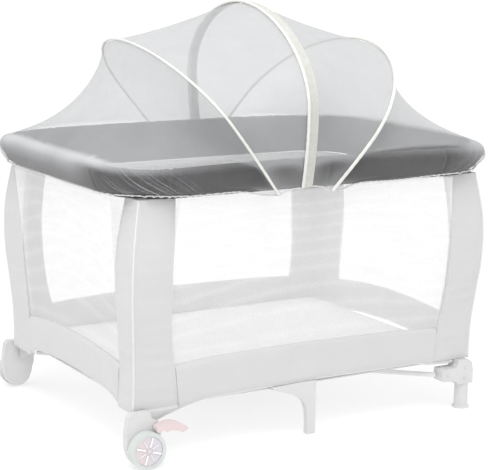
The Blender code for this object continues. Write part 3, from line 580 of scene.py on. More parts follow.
def under(curve, radius, shift=0.0):
    """The net's middle surface under a hoop, moved sideways by shift."""
    line, inward, side = curve
    return line + inward * (radius + HOOP_GAP + NET_THICKNESS / 2) + side * shift


# Net


def hem_ripple(distance):
    """Uneven gathers of the elastic hem, strongest at the corners."""
    centre, _ = ring_frame(distance)
    corner = corner_share(*centre)
    wave = 0.55 * math.sin(distance * 47.0) + 0.45 * math.sin(distance * 83.0 + 1.3)
    return (0.0006 + 0.0012 * corner) * (1.0 + wave)


def hem_point(distance, rise, foot):
    """A point of the gathered hem. The gathers die away at a hoop's foot, given as (weight, out, z)."""
    centre, normal = ring_frame(distance)
    share = rounding(*centre)
    weight, foot_out, foot_z = foot
    out = between(HEM_STRAIGHT[0], HEM_CORNER[0], share) + hem_ripple(distance) + rise
    wave = 0.0014 * math.sin(distance * 9.0 + 0.6) + 0.0009 * math.sin(distance * 31.0)
    height = between(HEM_STRAIGHT[1], HEM_CORNER[1], share) + wave + rise
    out = between(out, foot_out, weight)
    height = between(height, foot_z + rise, weight)
    return np.array((*(centre + normal * out), height))


def rail_place(points):
    """Where points lie about the padded rail: their share of the way from its upper to its lower roll, their
    offset (out, up) from that line, and the outward direction in plan."""
    half = np.array((RAIL_HALF_LENGTH - RAIL_CORNER, RAIL_HALF_WIDTH - RAIL_CORNER))
    plan = points[..., :2]
    beyond = np.abs(plan) - half
    outside = np.maximum(beyond, 0.0)
    reach = np.linalg.norm(outside, axis=-1)
    out = reach + np.minimum(beyond.max(axis=-1), 0.0) - RAIL_CORNER
    way = np.where(reach[..., None] > 0, outside / np.maximum(reach, 1e-9)[..., None], 0.0)
    widest = (beyond == beyond.max(axis=-1, keepdims=True)).astype(float)
    way = np.where(reach[..., None] > 0, way, widest) * np.sign(plan)
    top = RAIL_TOP - RAIL_RADIUS - corner_dip(plan[..., 0], plan[..., 1])
    low_out, low = lower_roll(plan[..., 0], plan[..., 1])
    fall = top - low
    share = np.clip((out * low_out + (top - points[..., 2]) * fall) / (low_out**2 + fall**2), 0.0, 1.0)
    return share, out - share * low_out, points[..., 2] - top + share * fall, way


def height_off_rail(points):
    """How far points lie off the padded rail's surface, and how far above its upper roll's middle."""
    share, away, rise, _ = rail_place(points)
    surface = RAIL_RADIUS + share * (LOWER_RADIUS - RAIL_RADIUS)
    return np.hypot(away, rise) - surface, rise


def shifted(points, change):
    """Points moved straight out of the padded rail, by what change says for their height off its surface."""
    share, away, rise, way = rail_place(points)
    distance = np.maximum(np.hypot(away, rise), 1e-6)
    out = change(distance - RAIL_RADIUS - share * (LOWER_RADIUS - RAIL_RADIUS)) / distance
    moved = points.copy()
    moved[..., :2] += way * (away * out)[..., None]
    moved[..., 2] += rise * out
    return moved


def push_off_rail(points, clearance):
    """Moves points too near the padded rail straight out of it, given their distance from the upper roll."""
    return shifted(points, lambda off: np.maximum(clearance - RAIL_RADIUS - off, 0.0))


def relax(grid, fixed, columns, across_length, along_length):
    """Pulls the free points of a gore taut between its fixed ones, over the rail."""
    step = np.diff(columns)
    row_step = 1.0 / (grid.shape[0] - 1)
    across = (row_step * along_length) / (step * across_length)
    cell = np.zeros(len(columns))
    cell[:-1] += step / 2
    cell[1:] += step / 2
    along = ROW_PULL * cell * across_length / (row_step * along_length)
    weight_left = across[:-1][None, :, None]
    weight_right = across[1:][None, :, None]
    weight_row = along[1:-1][None, :, None]
    total = weight_left + weight_right + 2 * weight_row
    free = ~fixed[1:-1, 1:-1][..., None]
    for _ in range(RELAX_STEPS):
        mean = weight_left * grid[1:-1, :-2] + weight_right * grid[1:-1, 2:]
        mean = (mean + weight_row * (grid[:-2, 1:-1] + grid[2:, 1:-1])) / total
        mean = push_off_rail(mean, NET_OFFSET)
        grid[1:-1, 1:-1] = np.where(free, mean, grid[1:-1, 1:-1])
    return grid


def end_gore(hoop, hem_start, hem_end):
    """The gore from the hem round one end of the cot to a side hoop."""
    columns = np.array(GORE_COLUMNS)
    grid = np.zeros((ROWS + 1, len(columns), 3))
    for row in range(ROWS + 1):
        share = row / ROWS
        distance = hem_start + (hem_end - hem_start) * share
        weight = 1.0 - smooth_step(min(share, 1.0 - share), 0.0, 0.07)
        foot = (weight, NET_OFFSET, hoop[0][2])
        centre, normal = ring_frame(distance)
        dip = corner_dip(*centre)
        shoulder = np.array((*(centre + normal * NET_OFFSET), RAIL_TOP - RAIL_RADIUS - dip))
        crest = np.array((*centre, RAIL_TOP + NET_OFFSET - RAIL_RADIUS - dip))
        over = smooth_step(min(share, 1.0 - share), 0.02, 0.12)
        hem = hem_point(distance, 0.0, foot)
        straight = hem + (hoop[row] - hem) * 0.34
        over_shoulder = straight + (shoulder - straight) * over
        over_crest = straight + (crest - straight) * over
        path = np.array((hem, over_shoulder, over_crest, hoop[row]))
        length = run_lengths(path)
        for axis in range(3):
            grid[row, :, axis] = np.interp(columns * length[-1], length, path[:, axis])
        grid[row, 1] = between(hem_point(distance, 0.011 * (1.0 - weight), foot), grid[row, 1], weight)
    grid[0] = hoop[0]
    grid[-1] = hoop[-1]
    fixed = np.zeros(grid.shape[:2], bool)
    fixed[:, 1] = True
    return relax(grid, fixed, columns, 0.6, 1.3)


def between_gore(first, second, shares):
    """The gore between two hoops, with its hem on the near and the far rail."""
    columns = np.array(shares)
    grid = first[:, None] * (1 - columns)[None, :, None] + second[:, None] * columns[None, :, None]
    for row in (0, -1):
        for column in range(1, len(columns) - 1):
            lift = 4 * columns[column] * (1 - columns[column])
            grid[row, column, 2] += 0.004 * lift
            grid[row, column, 1] = math.copysign(RAIL_HALF_WIDTH + NET_OFFSET, grid[row, column, 1])
    fixed = np.zeros(grid.shape[:2], bool)
    span_length = np.linalg.norm(first - second, axis=1).mean()
    return relax(grid, fixed, columns, span_length, 1.2)


def taller(grid):
    """Many more rows, on smooth curves through the first ones."""
    return cubic(grid, np.linspace(0.0, 1.0, ROWS + 1), np.linspace(0.0, 1.0, FINE_ROWS + 1))


def finer(grid, columns, fine_columns):
    """The same gore with many more points, on smooth curves through the first ones."""
    tall = taller(grid)
    wide = cubic(tall.swapaxes(0, 1), np.array(columns), fine_columns).swapaxes(0, 1)
    return push_off_rail(wide, NET_CLEARANCE)


def grid_normals(grid):
    """Unit normals of a grid of points, pointing away from the cot's inside."""
    normal = unit(np.cross(np.gradient(grid, axis=0), np.gradient(grid, axis=1)))
    away = grid - np.array((0.0, 0.0, 0.62))
    facing = np.sign((normal * away).sum(axis=-1, keepdims=True))
    return normal * np.where(facing == 0, 1.0, facing)


# Long folds of the net: start, end, width, height and added density
FOLDS = (
    ((-0.155, -0.414, 0.610), (-0.40, -0.414, 0.652), 0.0024, 0.0026, 0.30),
    ((-0.165, -0.414, 0.616), (-0.30, -0.414, 0.655), 0.0022, 0.0016, 0.10),
    ((-0.150, -0.414, 0.612), (-0.232, -0.395, 0.700), 0.0024, 0.0020, 0.15),
    ((0.012, -0.414, 0.610), (0.352, -0.414, 0.647), 0.0024, 0.0026, 0.30),
    ((0.020, -0.414, 0.612), (0.250, -0.414, 0.626), 0.0022, 0.0016, 0.16),
    ((0.075, -0.405, 0.690), (0.40, -0.380, 0.700), 0.0026, 0.0020, 0.26),
    ((-0.52, -0.20, 0.690), (-0.36, -0.385, 0.700), 0.0040, 0.0024, 0.16),
)


def folded(grid, normal, density):
    """The grid with its long folds raised and thickened."""
    raised = np.zeros(grid.shape[:2])
    for start, end, width, height, extra in FOLDS:
        start, end = np.array(start), np.array(end)
        way = end - start
        share = ((grid - start) @ way) / (way @ way)
        nearest = start + np.clip(share, 0, 1)[..., None] * way
        distance = np.linalg.norm(grid - nearest, axis=-1)
        fade = smooth_step(share, -0.05, 0.08) * (1.0 - smooth_step(share, 0.55, 1.05))
        crest = np.exp(-((distance / width) ** 2)) * fade
        raised += height * crest
        density += extra * crest
    return grid + normal * raised[..., None], density


def free_and_crest(grid):
    """Where the net hangs free of the rail, and where it lies on the rail's crest, each from 0 to 1."""
    height_off, rise = height_off_rail(grid)
    above = smooth_step(grid[..., 2], RAIL_TOP - 0.012, RAIL_TOP + 0.006)
    below = smooth_step(height_off, 0.0075, 0.026)
    free = between(below, smooth_step(height_off, 0.003, 0.012), above)
    return free, smooth_step(rise, 0.004, 0.022)


def cover(free, crest, ends=0.0):
    """How much the net covers, with what its ends add: net gathered round them, and painted shade that keeps
    the net over the rail's ends denser, so lighter, near the top and thinner lower down.
    """
    return (CLING_COVER + CREST_COVER * crest + ends) * (1.0 - free) + FREE_COVER * free


def hugging(grid):
    """The grid with its lowest parts drawn in closer to the padded rail."""
    low = grid[..., 2] < RAIL_TOP + 0.01
    return shifted(grid, lambda off: np.where(low, off * 0.4 * (smooth_step(off, 0.004, 0.020) - 1.0), 0.0))


def gathered(grid, hem_distance, fold_side):
    """Small slanting gathers above the hem, strongest round the corners, and the net's density, which
    carries painted shade over the rail's ends.
    """
    normal = grid_normals(grid)
    step = np.linalg.norm(np.diff(grid, axis=1), axis=-1)
    height = np.concatenate([np.zeros((grid.shape[0], 1)), np.cumsum(step, axis=1)], axis=1)
    plan = np.array([ring_frame(d)[0] for d in hem_distance])
    corner = rounding(plan[:, 0], plan[:, 1])[:, None]
    foot = smooth_step(np.abs(hem_distance - hem_distance[0]), 0.0, 0.05)
    foot = foot * smooth_step(np.abs(hem_distance - hem_distance[-1]), 0.0, 0.05)
    along = np.abs(hem_distance - hem_distance[0])[:, None] - 1.9 * fold_side[:, None] * height
    ridge = np.clip(ripple(5, along, 18, 110.0, 420.0), 0.0, 1.6) ** 1.5
    reach = 0.018 + 0.030 * corner
    size = (0.0003 + 0.0013 * corner) * np.exp(-((height / reach) ** 2)) * foot[:, None]
    grid = grid + normal * (size * (0.35 + ridge))[..., None]
    free, crest = free_and_crest(grid)
    # Painted shade: over the rail's ends the net is made denser, so lighter, at the top and thinner lower
    # down, on the near face and towards the near crest, so the dark rail looks lit from above.
    drop = RAIL_TOP - corner_dip(grid[..., 0], grid[..., 1]) - grid[..., 2]
    shade = 1.0 - smooth_step(drop, -0.004, 0.050)
    near_face = smooth_step(-grid[..., 1], 0.12, 0.30) * smooth_step(drop, -0.003, 0.014)
    near_crest = 0.65 * smooth_step(-grid[..., 1], 0.24, 0.36)
    left_end = smooth_step(-grid[..., 0], 0.36, 0.50) * (1.0 - near_face) * (1.0 - near_crest)
    right_end = smooth_step(grid[..., 0], 0.34, 0.50)
    ends = left_end * (0.24 + 0.44 * shade) + right_end * (0.09 + 0.45 * shade)
    density = cover(free, crest, ends)
    amount = 0.62 * np.exp(-((height / (reach * 1.1)) ** 2)) * corner * foot[:, None] * (1.0 - free)
    return (*folded(grid, normal, density), along, amount)


def slant(rows):
    """Which way the gathers slant: away from the nearer hoop foot at each end."""
    share = np.linspace(0.0, 1.0, rows)
    return np.cos(share * math.pi)


def joined_gores(gores):
    """All gores as one list of points, faces and values, welded where they meet."""
    index = {}
    points, values, faces = [], [], []
    for grid, *fields in gores:
        rows, columns = grid.shape[:2]
        numbers = np.zeros((rows, columns), int)
        for row in range(rows):
            for column in range(columns):
                key = tuple(np.round(grid[row, column], 6))
                if key not in index:
                    index[key] = len(points)
                    points.append(grid[row, column])
                    values.append([float(field[row, column]) for field in fields])
                numbers[row, column] = index[key]
        for row in range(rows - 1):
            for column in range(columns - 1):
                top, bottom = numbers[row], numbers[row + 1]
                ring = (top[column], top[column + 1], bottom[column + 1], bottom[column])
                face = tuple(dict.fromkeys(int(k) for k in ring))
                if len(face) > 2:
                    faces.append(face)
    return np.array(points), faces, np.array(values)


def unpleated(grid, with_folds=True):
    """A gore without gathers, with its values."""
    none = np.zeros(grid.shape[:2])
    density = cover(*free_and_crest(grid))
    if with_folds:
        grid, density = folded(grid, grid_normals(grid), density)
    return grid, density, none, none


def build_net():
    """The netting canopy in its four gores and the strip under the zip tape, with its elastic hem."""
    left, centre, right = (hoop_curve(shape, radius) for shape, radius, _ in HOOPS.values())
    around = ring_length()
    left_line = under(left, CASING_RADIUS)
    right_line = under(right, CASING_RADIUS)
    centre_line = under(centre, CENTRE_RADIUS)
    tape_line = under(centre, CENTRE_RADIUS, CENTRE_RADIUS + TAPE_GAP + TAPE_WIDTH)
    ends = (
        (left_line, ring_near(left[0][0][0]), ring_far(left[0][-1][0])),
        (right_line, ring_near(right[0][0][0]) + around, ring_far(right[0][-1][0])),
    )
    spread = np.linspace(0.0, 1.0, FINE_GORE + 1) ** 1.45
    gores = []
    for hoop, start, end in ends:
        grid = hugging(finer(end_gore(hoop, start, end), GORE_COLUMNS, spread))
        gore = gathered(grid, np.linspace(start, end, FINE_ROWS + 1), slant(FINE_ROWS + 1))
        gore[0][:, -1] = taller(hoop)
        gore[0][0] = gore[0][0, -1]
        gore[0][-1] = gore[0][-1, -1]
        gores.append(gore)
    even = np.linspace(0.0, 1.0, 17)
    middle = finer(between_gore(left_line, centre_line, MIDDLE_COLUMNS), MIDDLE_COLUMNS, even)
    strip = finer(between_gore(tape_line, right_line, TAPE_COLUMNS), TAPE_COLUMNS, even)
    beneath = np.stack([middle[:, -1], strip[:, 0]], axis=1)
    gores += [unpleated(middle), unpleated(strip), unpleated(beneath, False)]
    points, faces, values = joined_gores(gores)
    net = add_piece("net_canopy", points, faces, "net", "net_white", replaced=("net",), smooth=180.0)
    # The cover attribute holds the net's density together with the painted shade over the rail's ends.
    for column, name in enumerate(("cover", "pleat_place", "pleat_amount")):
        attribute = net.data.attributes.new(name, "FLOAT", "POINT")
        attribute.data.foreach_set("value", values[:, column].tolist())
    far_side = np.concatenate([gores[2][0][-1, 1:], gores[3][0][-1]])
    near_side = np.concatenate([gores[2][0][0, 1:], gores[3][0][0]])
    around_left = gores[0][0][:, 0]
    around_right = gores[1][0][:, 0]
    build_hem(np.concatenate([around_left, far_side[:-1], around_right[::-1], near_side[::-1][1:]]))
    return net


def build_hem(loop):
    """The elastic hem: a gathered tube round the net's lower edge."""
    keep = [loop[0]]
    for point in loop[1:]:
        if np.linalg.norm(point - keep[-1]) > 0.002:
            keep.append(point)
    line = np.array(keep)
    line[:, 2] -= HEM_RADIUS
    radii = HEM_RADIUS * (1.0 + 0.28 * ripple(8, run_lengths(line), 12, 200.0, 900.0).clip(-1, 1))
    tube("net_hem", line, radii, 8, "hem", "net_white", closed=True, smooth=180.0)


def build_hoops():
    """The hoops' sewn bindings, the zip tape and the zip's teeth."""
    lengths = np.linspace(0.0, 1.2, HOOP_STEPS + 1)
    turn = 2 * math.pi * np.arange(14) / 14
    flat = 1.0 - 0.22 * np.abs(np.cos(turn)) ** 3
    for word, (shape, radius, slim) in HOOPS.items():
        name = "binding_" + word
        line, inward, side = hoop_curve(shape, radius, HOOP_STEPS)
        line = line + inward * (radius + HOOP_GAP - slim)
        radii = slim * (1.0 + 0.05 * ripple(len(name), lengths, 10, 60.0, 500.0).clip(-1, 1))
        rings = line[:, None] + (np.cos(turn) * flat)[None, :, None] * inward[:, None] * radii[:, None, None]
        rings = rings + np.sin(turn)[None, :, None] * side[:, None] * radii[:, None, None]
        loft(name, rings, "binding", "hoop_binding", replaced=("hoop_" + word,), smooth=180.0)
    build_tape()


def build_tape():
    """The zip tape beside the centre hoop: two ribbed tapes with a coil between them."""
    count = 900
    line, inward, side = hoop_curve(CENTRE_HOOP, CENTRE_RADIUS, count)
    low = CENTRE_RADIUS + TAPE_GAP
    across = np.linspace(0.0, 1.0, 45)
    ribs = 0.00035 * np.cos(across * 2 * math.pi * 9)
    coil = 0.0009 * np.exp(-(((across - 0.5) / 0.07) ** 2))
    lengths = np.linspace(0.0, 1.2, count + 1)
    pucker = 0.00025 * ripple(3, lengths, 12, 100.0, 700.0)
    top = 0.0010 + ribs[None] + coil[None] + pucker[:, None] * np.sin(across * math.pi)[None]
    sideways = side[:, None] * (low + across * TAPE_WIDTH)[None, :, None]
    outer = line[:, None] + sideways + inward[:, None] * (CENTRE_RADIUS - 0.0006 - top)[..., None]
    inner = (line[:, None] + sideways + inward[:, None] * (CENTRE_RADIUS - 0.0002))[:, ::-1]
    rings = np.concatenate([outer, inner], axis=1)
    loft("zip_tapes", rings, "tape", "zip_tape", replaced=("zip_tape",), smooth=50.0)


# Rails


def rolled(out, z, radius, angles):
    """Points (out, z) round part of a roll."""
    turns = [math.radians(angle) for angle in angles]
    return [(out + radius * math.cos(turn), z + radius * math.sin(turn)) for turn in turns]


def rail_section(skirt, x, y):
    """Closed outline (out, z) of the padded rail, with the inner skirt's lower edge."""
    top = RAIL_TOP - RAIL_RADIUS - corner_dip(x, y)
    inner = ((0.0, top - 0.018), (0.0, RAIL_BOTTOM + 0.016), (0.0, RAIL_BOTTOM + 0.004))
    inner += ((0.0015, RAIL_BOTTOM - skirt), (0.0045, RAIL_BOTTOM - skirt), (0.0050, RAIL_BOTTOM))
    outline = rolled(0.0, top, RAIL_RADIUS, range(-15, 181, 13))
    outline += [(step - RAIL_RADIUS, z) for step, z in inner]
    return np.array(outline + rolled(*lower_roll(x, y), LOWER_RADIUS, range(-97, -14, 11)))


def rail_cover(name, start, end, skirted, seed):
    """A padded length of the rail cover, pinched at its end seams and slightly creased."""
    steps = max(12, int(abs(end - start) / 0.006))
    gap = math.copysign(0.0004, end - start)
    places = np.linspace(start + gap, end - gap, steps + 1)
    rings = []
    for distance in places:
        centre, normal = ring_frame(distance)
        edge = min(abs(distance - start), abs(distance - end))
        pinch = 0.0022 * math.exp(-((edge / 0.0035) ** 2))
        pinch -= 0.0009 * math.exp(-(((edge - 0.010) / 0.006) ** 2))
        section = rail_section(SKIRT_DEPTH if skirted else 0.0005, *centre)
        crease = 0.0005 * ripple(seed, np.array([distance]), 9, 20.0, 160.0)[0]
        ring = []
        for out, z in section:
            body = RAIL_TOP - RAIL_RADIUS if z > RAIL_TOP - RAIL_RADIUS else max(z, RAIL_BOTTOM + 0.022)
            soft = crease * math.sin(z * 120.0 + distance * 9.0) * (1.0 if z > RAIL_BOTTOM + 0.01 else 0.2)
            way = np.array((out, z - body))
            way = way / max(np.linalg.norm(way), 1e-9)
            shrink = (pinch if z >= RAIL_BOTTOM - 0.001 else 0.0) + soft
            out_now, z_now = np.array((out, z)) - way * shrink
            ring.append((*(centre + normal * out_now), z_now))
        rings.append(ring)
    piece = loft(name + "_cover", rings, "rail", "rail_grey", replaced=(name,), smooth=60.0)


def build_rails():
    half = ring_length() / 2
    side = RAIL_HALF_WIDTH - RAIL_CORNER
    left = half / 2
    right = half + left
    lengths = (
        ("near_left", ring_near(0.0), ring_near(LEFT_SEAM), False),
        ("near_right", ring_near(SEAM), ring_near(0.0), False),
        ("corner_near_left", ring_near(LEFT_SEAM), left - side, False),
        ("left", left - side, left + side, False),
        ("corner_far_left", left + side, ring_far(-SEAM), False),
        ("far", ring_far(-SEAM), ring_far(SEAM), True),
        ("corner_far_right", ring_far(SEAM), right - side, True),
        ("right", right - side, right + side, True),
        ("corner_near_right", right + side, ring_length() - SEAM, False),
    )
    for seed, (word, start, end, skirted) in enumerate(lengths, 1):
        rail_cover("rail_" + word, start, end, skirted, seed)


# Cot frame, as in the source


def post_corner(z):
    """The outer corner's distance from the middle along X and along Y."""
    heights = (0.13, 0.19, 0.232, 0.274, 0.324, 0.374, 0.424, 0.465, 0.508, 0.551, 0.593)
    bulges = (0.0, 0.0008, 0.0026, 0.0062, 0.0108, 0.0158, 0.0178, 0.0176, 0.015, 0.009, 0.002)
    bow = float(cubic(np.array(bulges), np.array(heights), np.array([z]))[0])
    share = (z - 0.13) / 0.47
    return 0.483 - 0.008 * share + bow, 0.349 + 0.0115 * share + bow


def flange_x(z):
    """Distance from the middle of the post's inner edge on the long sides."""
    return float(np.interp(z, FLANGE_HEIGHTS, (0.366, 0.376, 0.386, 0.392, 0.394, 0.386, 0.381)))


def flange_y(z, far=False):
    """Distance from the middle of the post's inner edge on the short sides."""
    shape = (0.272, 0.281, 0.283, 0.284, 0.284, 0.289, 0.293)
    return float(np.interp(z, FLANGE_HEIGHTS, shape)) - (0.036 if far else 0.0)


def post_edges(axis, z):
    """How far from the middle the posts at the two ends of a side begin."""
    return (flange_x(z), flange_x(z)) if axis == "x" else (flange_y(z), flange_y(z, True))


def puffed(start, end, fixed, puff, turned):
    """Points of one flange's outer face, padded between its sewn edges."""
    share = np.linspace(0.0, 1.0, 15)
    run = start + (end - start) * share
    swell = puff * np.sin(share * math.pi) ** 0.6 - 0.0009 * np.exp(-(((share - 0.07) / 0.03) ** 2))
    return [(fixed + s, r) if turned else (r, fixed + s) for r, s in zip(run, swell)]


def sleeve_ring(z, far, puff):
    """L-shaped ring of the post's sleeve in its own quarter, padded, with a rounded outer corner."""
    x, y = post_corner(z)
    inner_x, inner_y = flange_x(z), flange_y(z, far)
    bend = 0.010
    ring = puffed(inner_x, x - bend, y - 0.001, puff, False)
    for angle in (72, 54, 36, 18):
        turn = math.radians(angle)
        ring.append((x - bend + bend * math.cos(turn), y - bend + bend * math.sin(turn)))
    ring += puffed(y - bend, inner_y, x - 0.001, puff, True)
    depth = SLEEVE - 0.002
    ring += [(x - depth, inner_y), (x - depth, y - depth - 0.010)]
    ring += [(x - depth - 0.010, y - depth), (inner_x, y - depth)]
    return ring


def build_post(word, side_x, side_y):
    """One corner's padded sleeve with the white piping down its outer corner."""
    top = POST_TOP_FAR_RIGHT if side_x > 0 and side_y > 0 else POST_TOP
    bottom = POST_BOTTOM if side_x > 0 else POST_BOTTOM - 0.011
    heights = np.linspace(bottom, top, 88)
    seed = 20 + 2 * side_x + side_y
    crease = 0.0005 * ripple(seed, heights, 10, 40.0, 260.0)
    rings = []
    beads = []
    for z, soft in zip(heights, crease):
        end = min(z - bottom, top - z)
        puff = (0.0018 + soft) * smooth_step(end, -0.002, 0.012)
        rings.append([(side_x * x, side_y * y, z) for x, y in sleeve_ring(z, side_y > 0, puff)])
        x, y = post_corner(z)
        beads.append((side_x * (x - 0.0024), side_y * (y - 0.0024), z))
    name = "post_" + word
    loft(name + "_sleeve", rings, "cot", "cot_fabric_pale", replaced=(name,), smooth=50.0)
    radii = 0.0024 + 0.0002 * ripple(seed + 9, heights, 8, 200.0, 900.0).clip(-1, 1)
    tube(name + "_piping", beads, radii, 10, "piping", "cot_fabric_pale", smooth=180.0)


def panel_place(axis, side, along, out, z):
    return (along, side * out, z) if axis == "x" else (side * out, along, z)


def build_mesh_tape():
    """The pale cloth strip under the skirted rail, on the inside of the mesh sides and round the post."""
    rings = []
    for distance in np.linspace(ring_far(-0.25), ring_far(0.85), 150):
        plan, normal = ring_frame(distance)
        wave = 0.0008 * math.sin(distance * 31.0)
        section = ((0.0245, 0.5485 + wave), (0.026, 0.548 + wave), (0.026, 0.579), (0.0245, 0.579))
        rings.append([(*(plan - normal * inset), z) for inset, z in section])
    loft("mesh_tape", rings, "lining", "cot_fabric_pale", smooth=40.0)


def band_heights(along, top, bottom, inner_low, inner_high):
    """Lower and upper edge of a band at a place along it. It stops under the posts beyond its inner part."""
    low = float(np.interp(along, *zip(*bottom)))
    high = float(np.interp(along, *zip(*top)))
    if not inner_low < along < inner_high:
        high = POST_BOTTOM - 0.001
    return low, high


def widened(along, z, axis, inner):
    """A place along a band, spread so that the band meets the posts' edges at every height."""
    if not inner[0] < along < inner[1] or z < 0.1285:
        return along
    low_edge, high_edge = post_edges(axis, z)
    return along * (low_edge - 0.0008) / -inner[0] if along < 0 else along * (high_edge - 0.0008) / inner[1]


def build_band(word, axis, side, out, top, bottom, inner):
    """A lower fabric band, padded between its bound edges."""
    places = np.concatenate([
        np.linspace(bottom[0][0], inner[0] - 0.0004, 16),
        np.linspace(inner[0] + 0.0004, inner[1] - 0.0004, 130),
        np.linspace(inner[1] + 0.0004, bottom[-1][0], 16),
    ])
    seed = 40 + len(word) + side
    soft = 0.0006 * ripple(seed, places, 14, 12.0, 90.0)
    heights = np.linspace(0.0, 1.0, 15)
    rings = []
    edge = []
    for along, wave in zip(places, soft):
        low, high = band_heights(along, top, bottom, *inner)
        z = low + (high - low) * heights
        near_edge = np.minimum(z - low, high - z)
        half = BAND_THICKNESS / 2 * (0.45 + 0.55 * smooth_step(near_edge, 0.0, 0.010))
        half = half + wave * np.sin(heights * math.pi)
        ends = [widened(along, v, axis, inner) for v in z]
        outer = [panel_place(axis, side, a, out + h, v) for a, h, v in zip(ends, half, z)]
        inside = [panel_place(axis, side, a, out - h, v) for a, h, v in zip(ends, half, z)]
        rings.append(outer + inside[::-1])
        edge.append(panel_place(axis, side, along, out, low + 0.0005))
    name = "band_" + word
    loft(name + "_cloth", rings, "cot", "cot_fabric_pale", replaced=(name,), smooth=50.0)
    tube(name + "_binding", edge, 0.0034, 10, "piping", "cot_fabric_pale", smooth=180.0)


def build_mesh_side(word, axis, side, out_low, out_high, top, seed):
    """A mesh side: one stretched sheet, sewn to the posts, the band and the rail."""
    columns = np.linspace(0.0, 1.0, 73)
    rows = np.linspace(0.0, 1.0, 37)
    lean = (out_high - out_low) / (MESH_TOP - 0.22)
    points = []
    for v in rows:
        low_edge, high_edge = post_edges(axis, 0.225 + (MESH_TOP - 0.225) * v)
        for u in columns:
            along = -low_edge + (high_edge + low_edge) * u
            foot = float(np.interp(along, *zip(*top))) - 0.001
            z = foot + (MESH_TOP + 0.002 - foot) * v
            slack = math.sin(u * math.pi) * math.sin(v * math.pi)
            pull = 0.0012 * math.sin(u * 19.0 + seed) * math.exp(-(((v - 1.0) / 0.25) ** 2))
            out = out_low + lean * (z - 0.22) - 0.005 * slack + pull * math.sin(v * math.pi)
            points.append(panel_place(axis, side, along, out, z))
    name = "mesh_" + word
    faces = grid_faces(len(rows), len(columns))
    sheet = add_piece(name + "_sheet", points, faces, "mesh", "mesh_pale", replaced=(name,), smooth=180.0)


def build_panels():
    for side, word in ((-1, "near"), (1, "far")):
        build_band(word, "x", side, BAND_Y, LONG_BAND_TOP, LONG_BAND_BOTTOM, LONG_INNER)
        build_mesh_side(word, "x", side, BAND_Y, MESH_TOP_Y, LONG_BAND_TOP, side)
    for side, word in ((-1, "left"), (1, "right")):
        build_band(word, "y", side, BAND_X, SHORT_BAND_TOP, SHORT_BAND_BOTTOM, SHORT_INNER)
        build_mesh_side(word, "y", side, BAND_X, MESH_TOP_X, SHORT_BAND_TOP, 3 + side)
    build_mesh_tape()


def rounded_oblong(half_x, half_y, corner, count):
    """Points round an oblong with rounded corners, evenly counted on each side and corner."""
    arcs = []
    for quarter, (sign_x, sign_y) in enumerate(((1, 1), (-1, 1), (-1, -1), (1, -1))):
        middle = np.array((sign_x * (half_x - corner), sign_y * (half_y - corner)))
        turn = math.pi / 2 * (quarter + np.arange(9) / 8)
        arcs.append(middle + corner * np.stack([np.cos(turn), np.sin(turn)], axis=1))
    share = np.arange(1, count)[:, None] / count
    points = []
    for arc, following in zip(arcs, arcs[1:] + arcs[:1]):
        points += [*arc, *(arc[-1] + (following[0] - arc[-1]) * share)]
    return points


def build_mattress():
    """The folding mattress: a crowned pad with three fold seams and piped edges."""
    half_x, half_y = MATTRESS_HALF
    low, high = MATTRESS_Z
    section = [(0.30, low), (0.12, low), (0.02, low + 0.0004), (0.004, low + 0.004), (0.0, low + 0.012)]
    section += [(0.0, high - 0.012), (0.004, high - 0.004), (0.012, high - 0.0005), (0.03, high + 0.0018)]
    section += [(0.06, high + 0.0032), (0.11, high + 0.0044), (0.17, high + 0.005), (0.24, high + 0.0052)]
    section += [(0.31, high + 0.0052)]
    rings = []
    for inset, z in section:
        corner = max(MATTRESS_CORNER - inset, 0.004)
        ring = []
        for x, y in rounded_oblong(half_x - inset, half_y - inset, corner, 48):
            fold = sum(math.exp(-(((x - at) / 0.006) ** 2)) for at in (-0.224, 0.0, 0.224))
            ring.append((x, y, z - 0.005 * fold if z > high - 0.002 else z))
        rings.append(ring)
    pad = loft("mattress_pad", rings, "mattress", "mattress_white", replaced=("mattress",), smooth=60.0)
    plan = rounded_oblong(half_x - 0.0005, half_y - 0.0005, MATTRESS_CORNER, 40)
    for word, z in (("low", low + 0.006), ("high", high - 0.006)):
        line = [(x, y, z) for x, y in plan]
        name = "mattress_piping_" + word
        tube(name, line, 0.0026, 8, "piping", "mattress_white", closed=True, smooth=180.0)


def rounded_copy(node, material, slot, body, width):
    """A copy of a hard CAD node with its moulded edges rounded."""
    mesh = NODES[node].data
    points = [tuple(vertex.co) for vertex in mesh.vertices]
    faces = [tuple(face.vertices) for face in mesh.polygons]
    name = node + "_moulded"
    piece = add_piece(name, points, faces, material, slot, body=body, replaced=(node,), smooth=180.0)
    bevel = piece.modifiers.new("bevel", "BEVEL")
    bevel.width = width
    bevel.segments = 3
    bevel.limit_method = "ANGLE"
    bevel.angle_limit = math.radians(32)
    bpy.context.view_layer.update()
    graph = bpy.context.evaluated_depsgraph_get()
    mesh = bpy.data.meshes.new_from_object(piece.evaluated_get(graph))
    piece.modifiers.clear()
    piece.data = mesh
    mesh.set_sharp_from_angle(angle=math.radians(48))


def oval(middle, wide, tall, count):
    """A ring of points round a middle, spanned by two half axes."""
    turn = 2 * math.pi * np.arange(count) / count
    return np.array(middle) + np.outer(np.cos(turn), wide) + np.outer(np.sin(turn), tall)


def build_dome(name, middle, profile, side_y, count, material, slot, body="cot"):
    """A low round dome on an upright face."""
    x, y, z = middle
    rings = [
        oval((x, y + side_y * rise, z), (radius, 0.0, 0.0), (0.0, 0.0, radius), count)
        for radius, rise in profile
    ]
    loft(name, rings, material, slot, body=body)


